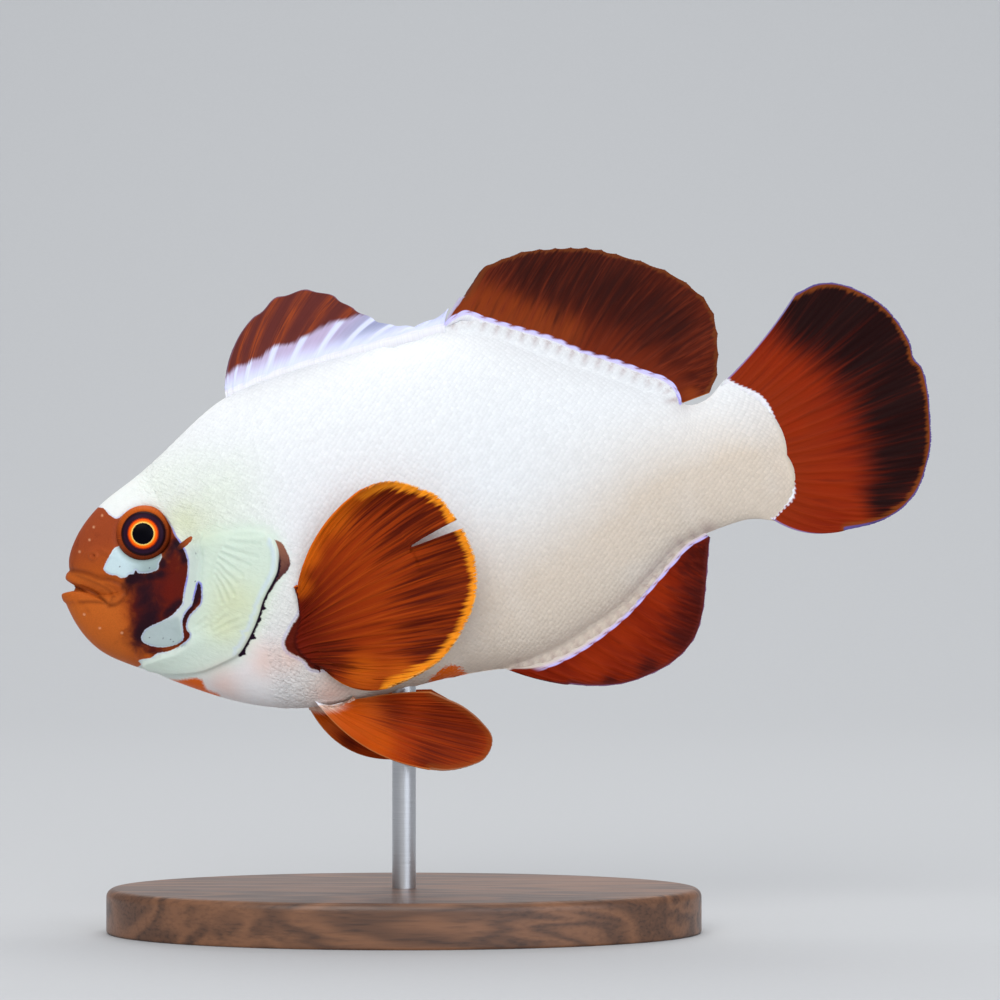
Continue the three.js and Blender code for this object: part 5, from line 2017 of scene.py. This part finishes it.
# ---- the studio
@dataclass(frozen=True)
class Studio:
    """Camera, lights, and a sheet of paper that sweeps from the floor up a wall."""

    camera_at: Place = (12.9, -560.0, 58.1)  # mm, over the middle of the stand
    lens: float = 149.9
    sensor: float = 36.0
    wall: float = 1.3  # metres behind the fish
    sweep: float = 0.8

    def camera(self) -> None:
        """A level camera that looks at the fish's left side."""
        data = bpy.data.cameras.new("camera")
        data.lens, data.sensor_width = self.lens, self.sensor
        data.clip_start, data.clip_end = 0.01, 20
        camera = new_object("camera", data)
        camera.location = [value * MM for value in self.camera_at]
        camera.rotation_euler = (math.pi / 2, 0, 0)
        bpy.context.scene.camera = camera

    def light(self, name: str, at: Place, size: float, watts: float, tone: Colour) -> None:
        """A square soft light, aimed at the fish.

        Args:
            name: the light's name.
            at: where it hangs, in metres.
            size: its side.
            watts: its power.
            tone: its colour.
        """
        data = bpy.data.lights.new(name, "AREA")
        data.size, data.energy, data.color = size, watts, paint(tone)[:3]
        lamp = new_object(name, data)
        lamp.location = at
        aim = Vector((0.012, 0, 0.055)) - lamp.location
        lamp.rotation_euler = aim.to_track_quat("-Z", "Y").to_euler()

    def backdrop(self) -> None:
        """The paper: level, then a quarter circle, then upright, carried across the studio."""
        turn = np.linspace(0, math.pi / 2, 24)
        floor = rows_of(np.linspace(-1.6, self.wall - self.sweep, 12)[:-1], np.zeros(11))
        start = self.wall - self.sweep
        curve = rows_of(start + self.sweep * np.sin(turn), self.sweep * (1 - np.cos(turn)))
        upright = np.array([[self.wall, 1.0], [self.wall, 2.2]])
        profile = np.vstack([floor, curve, upright])
        across = np.linspace(-2.2, 2.2, 12)
        points = np.array([[[x, y, z] for x in across] for y, z in profile])
        faces = grid_faces(np.arange(points.shape[0] * points.shape[1]).reshape(points.shape[:2]))[:, ::-1]
        mesh = bpy.data.meshes.new("backdrop")
        mesh.from_pydata(points.reshape(-1, 3).tolist(), [], faces.tolist())
        mesh.shade_smooth()
        mesh.materials.append(PaperFinish().build())
        sheet = new_object("backdrop", mesh)

    def build(self) -> None:
        """Sets up the whole studio."""
        self.camera()
        self.backdrop()
        daylight = "fffcf8"
        self.light("key", (-0.2, -0.9, 0.62), 0.7, 6.2, daylight)
        self.light("fill", (0.5, -0.8, 0.06), 0.8, 4.6, "f0f6ff")
        self.light("top", (0.1, 0.15, 0.95), 0.8, 3.9, daylight)
        self.light("wall", (0.0, 0.7, 1.2), 1.2, 8.0, daylight)
        world = bpy.data.worlds.new("studio")
        world.use_nodes = True
        world.node_tree.nodes["Background"].inputs["Color"].default_value = paint("ecf0f6")
        world.node_tree.nodes["Background"].inputs["Strength"].default_value = 0.42
        bpy.context.scene.world = world
        bpy.context.scene.view_settings.view_transform = "Standard"


# ---- finishes of this fish's fins
SPINY_FINISH = FinFinish(
    "fin_spiny",
    root="70362e", middle="622e2a", dusk="3c1c1c", glow="6e3c28",
    ray="a24822", streak="4e2424", rim="68342c", edge="806880",
    side="823c28", sheath="e8e8f4", tucked="ececf2",
    rim_mm=0.4, rim_strength=0.4, edge_mm=0.22, edge_strength=0.6, ray_strength=0.85, streak_strength=0.35,
    white="dce2ff", clear="c0b2d2", haze="9ca2c2",
)
DORSAL_FINISH = FinFinish(
    "fin_dorsal",
    root="6e260f", middle="4b180d", dusk="31110d", glow="843613",
    ray="762c16", streak="341410", rim="70381a", edge="543230",
    side="aa5c24", sheath="cecaff", tucked="d4cef8",
    front="c4c4e2", front_rays=0.5, rim_mm=0.8, rim_wander=0.9,
    edge_mm=0.2, edge_strength=0.5, ray_strength=0.75, dusk_share=0.85, dusk_streaks=1.2,
)
CAUDAL_FINISH = FinFinish(
    "fin_caudal",
    root="8a2b0c", middle="822108", dusk="1f0a0a", glow="8e2808",
    ray="94320e", streak="62190a", rim="844218", edge="52549c",
    side="9488be", sheath="e2deec", tucked="ececf2",
    rim_mm=1.0, rim_wander=0.9, rim_strength=0.75, edge_mm=0.36, edge_strength=0.8, side_mm=0.28,
    ray_strength=0.35, dusk_streaks=0.8, dusk_share=1.08,
)
ANAL_FINISH = FinFinish(
    "fin_anal",
    root="7a1c05", middle="761c05", dusk="420f0a", glow="8e2806",
    ray="922c0a", streak="5c1608", rim="5c221e", edge="84668c",
    side="542428", sheath="c8bef4", tucked="d2c4d6", sheath_from=1.2, below="d6ccc4",
    rim_mm=0.8, rim_wander=0.7, rim_strength=0.7, edge_mm=0.22,
)
PECTORAL_FINISH = FinFinish(
    "fin_pectoral",
    root="681809", middle="98340a", dusk="541608", glow="c0560c",
    ray="b24c10", streak="601a08", rim="fa9620", edge="ffc06c",
    side="d67416", sheath="54140e", tucked="54140e", below="54140e",
    front="d86410", front_rays=2.4, rim_mm=1.5, rim_wander=1.5, rim_strength=1.0,
    edge_mm=0.3, edge_strength=0.8, streak_strength=0.55, dusk_streaks=2.4, dusk_share=0.72,
)
PELVIC_FINISH = FinFinish(
    "fin_pelvic",
    root="cc6226", middle="a03208", dusk="601a0a", glow="c24e08",
    ray="aa4c12", streak="74240a", rim="90461a", edge="b08060",
    side="be703c", sheath="e2beaa", tucked="dcbeae", root_fade=1.1,
    rim_mm=1.0, rim_wander=0.8, rim_strength=0.5, edge_mm=0.18, edge_strength=0.6,
    ray_strength=0.4, dusk_share=0.8, dusk_streaks=1.4,
)


def build_body(place: FishPlace) -> Skin:
    """Builds the skin and the scales.

    Args:
        place: where the fish is.

    Returns:
        The skin.
    """
    markings = Markings()
    skin = Skin(Body(), markings)
    flesh = ("head", "jaw", "trunk", "tail_stem", "gill_cover_left", "gill_cover_right")
    make_piece("skin", skin.surface(), SkinFinish().build(), flesh, place)
    coat = ScaleCoat(skin, markings)
    scaly = SkinFinish("clownfish_scales", scaled=True).build()
    for side in Side:
        for rear in (False, True):
            name = "scales_" + side.name.lower() + ("_rear" if rear else "_front")
            make_piece(name, coat.surface(side, rear), scaly, ("trunk",), place)
    return skin


def build_fins(place: FishPlace, body: Body) -> None:
    """Builds the fins.

    Args:
        place: where the fish is.
        body: the flesh that the pectoral fins leave.
    """

    def on_middle(x: Array, z: Array, along: Array) -> Array:
        """A middle fin stands on the middle plane."""
        return 0 * x

    for shape, finish, white in (
        (SPINY_DORSAL, SPINY_FINISH, SPINY_WHITE),
        (SOFT_DORSAL, DORSAL_FINISH, None),
        (CAUDAL, CAUDAL_FINISH, None),
        (ANAL, ANAL_FINISH, None),
    ):
        fin = Fin(shape).surface(on_middle, white=white)
        make_piece("visible_" + shape.name, fin, finish.build(), (shape.name,), place)
    pectoral, pelvic = PECTORAL_FINISH.build(), PELVIC_FINISH.build()
    for side in Side:
        word, sign = side.name.lower(), side.value

        def off_flank(x: Array, z: Array, along: Array) -> Array:
            """A pectoral fin leaves the flank and stands off it more towards its margin."""
            clear = 1.1 * ramp(along, 0, 0.2) - 0.35
            return sign * (body.flank_half_width(x, z) + clear + 4.5 * along)

        def off_belly(x: Array, z: Array, along: Array) -> Array:
            """A pelvic fin leaves the belly near the middle plane and splays out."""
            return sign * (2.5 + 4.6 * along)

        slit = PECTORAL_SLIT if side is Side.LEFT else None
        fin = Fin(PECTORAL).surface(off_flank, slit=slit)
        make_piece("visible_pectoral_" + word, fin, pectoral, ("pectoral_fin_" + word,), place)
        shape = NEAR_PELVIC if side is Side.LEFT else FAR_PELVIC
        fin = Fin(shape).surface(off_belly)
        make_piece("visible_pelvic_" + word, fin, pelvic, (shape.name,), place)


def build_details(place: FishPlace) -> None:
    """Builds the eyes and the cheek spines.

    Args:
        place: where the fish is.
    """
    gloss, horn = EyeFinish().build(), SpineFinish().build()
    for side in Side:
        word = side.name.lower()
        make_piece("visible_eye_" + word, Eye(side).surface(), gloss, ("eye_" + word,), place)
        spine = CheekSpine(side).surface()
        make_piece("visible_spine_" + word, spine, horn, ("cheek_spine_" + word,), place)


def build_stand() -> None:
    """Builds the base and the rod."""
    stand = Stand()
    make_piece("visible_base", stand.base(), WoodFinish().build(), ("stand_base",))
    make_piece("visible_rod", stand.rod(), SteelFinish().build(), ("stand_rod",))


def main() -> None:
    """Builds the model in order: studio, body, fins, eyes and spines, stand."""
    logging.basicConfig(level=logging.INFO, format="%(message)s")
    Studio().build()
    place = FishPlace.over_stand()
    skin = build_body(place)
    build_fins(place, skin.body)
    build_details(place)
    build_stand()


if __name__ == "__main__":
    main()
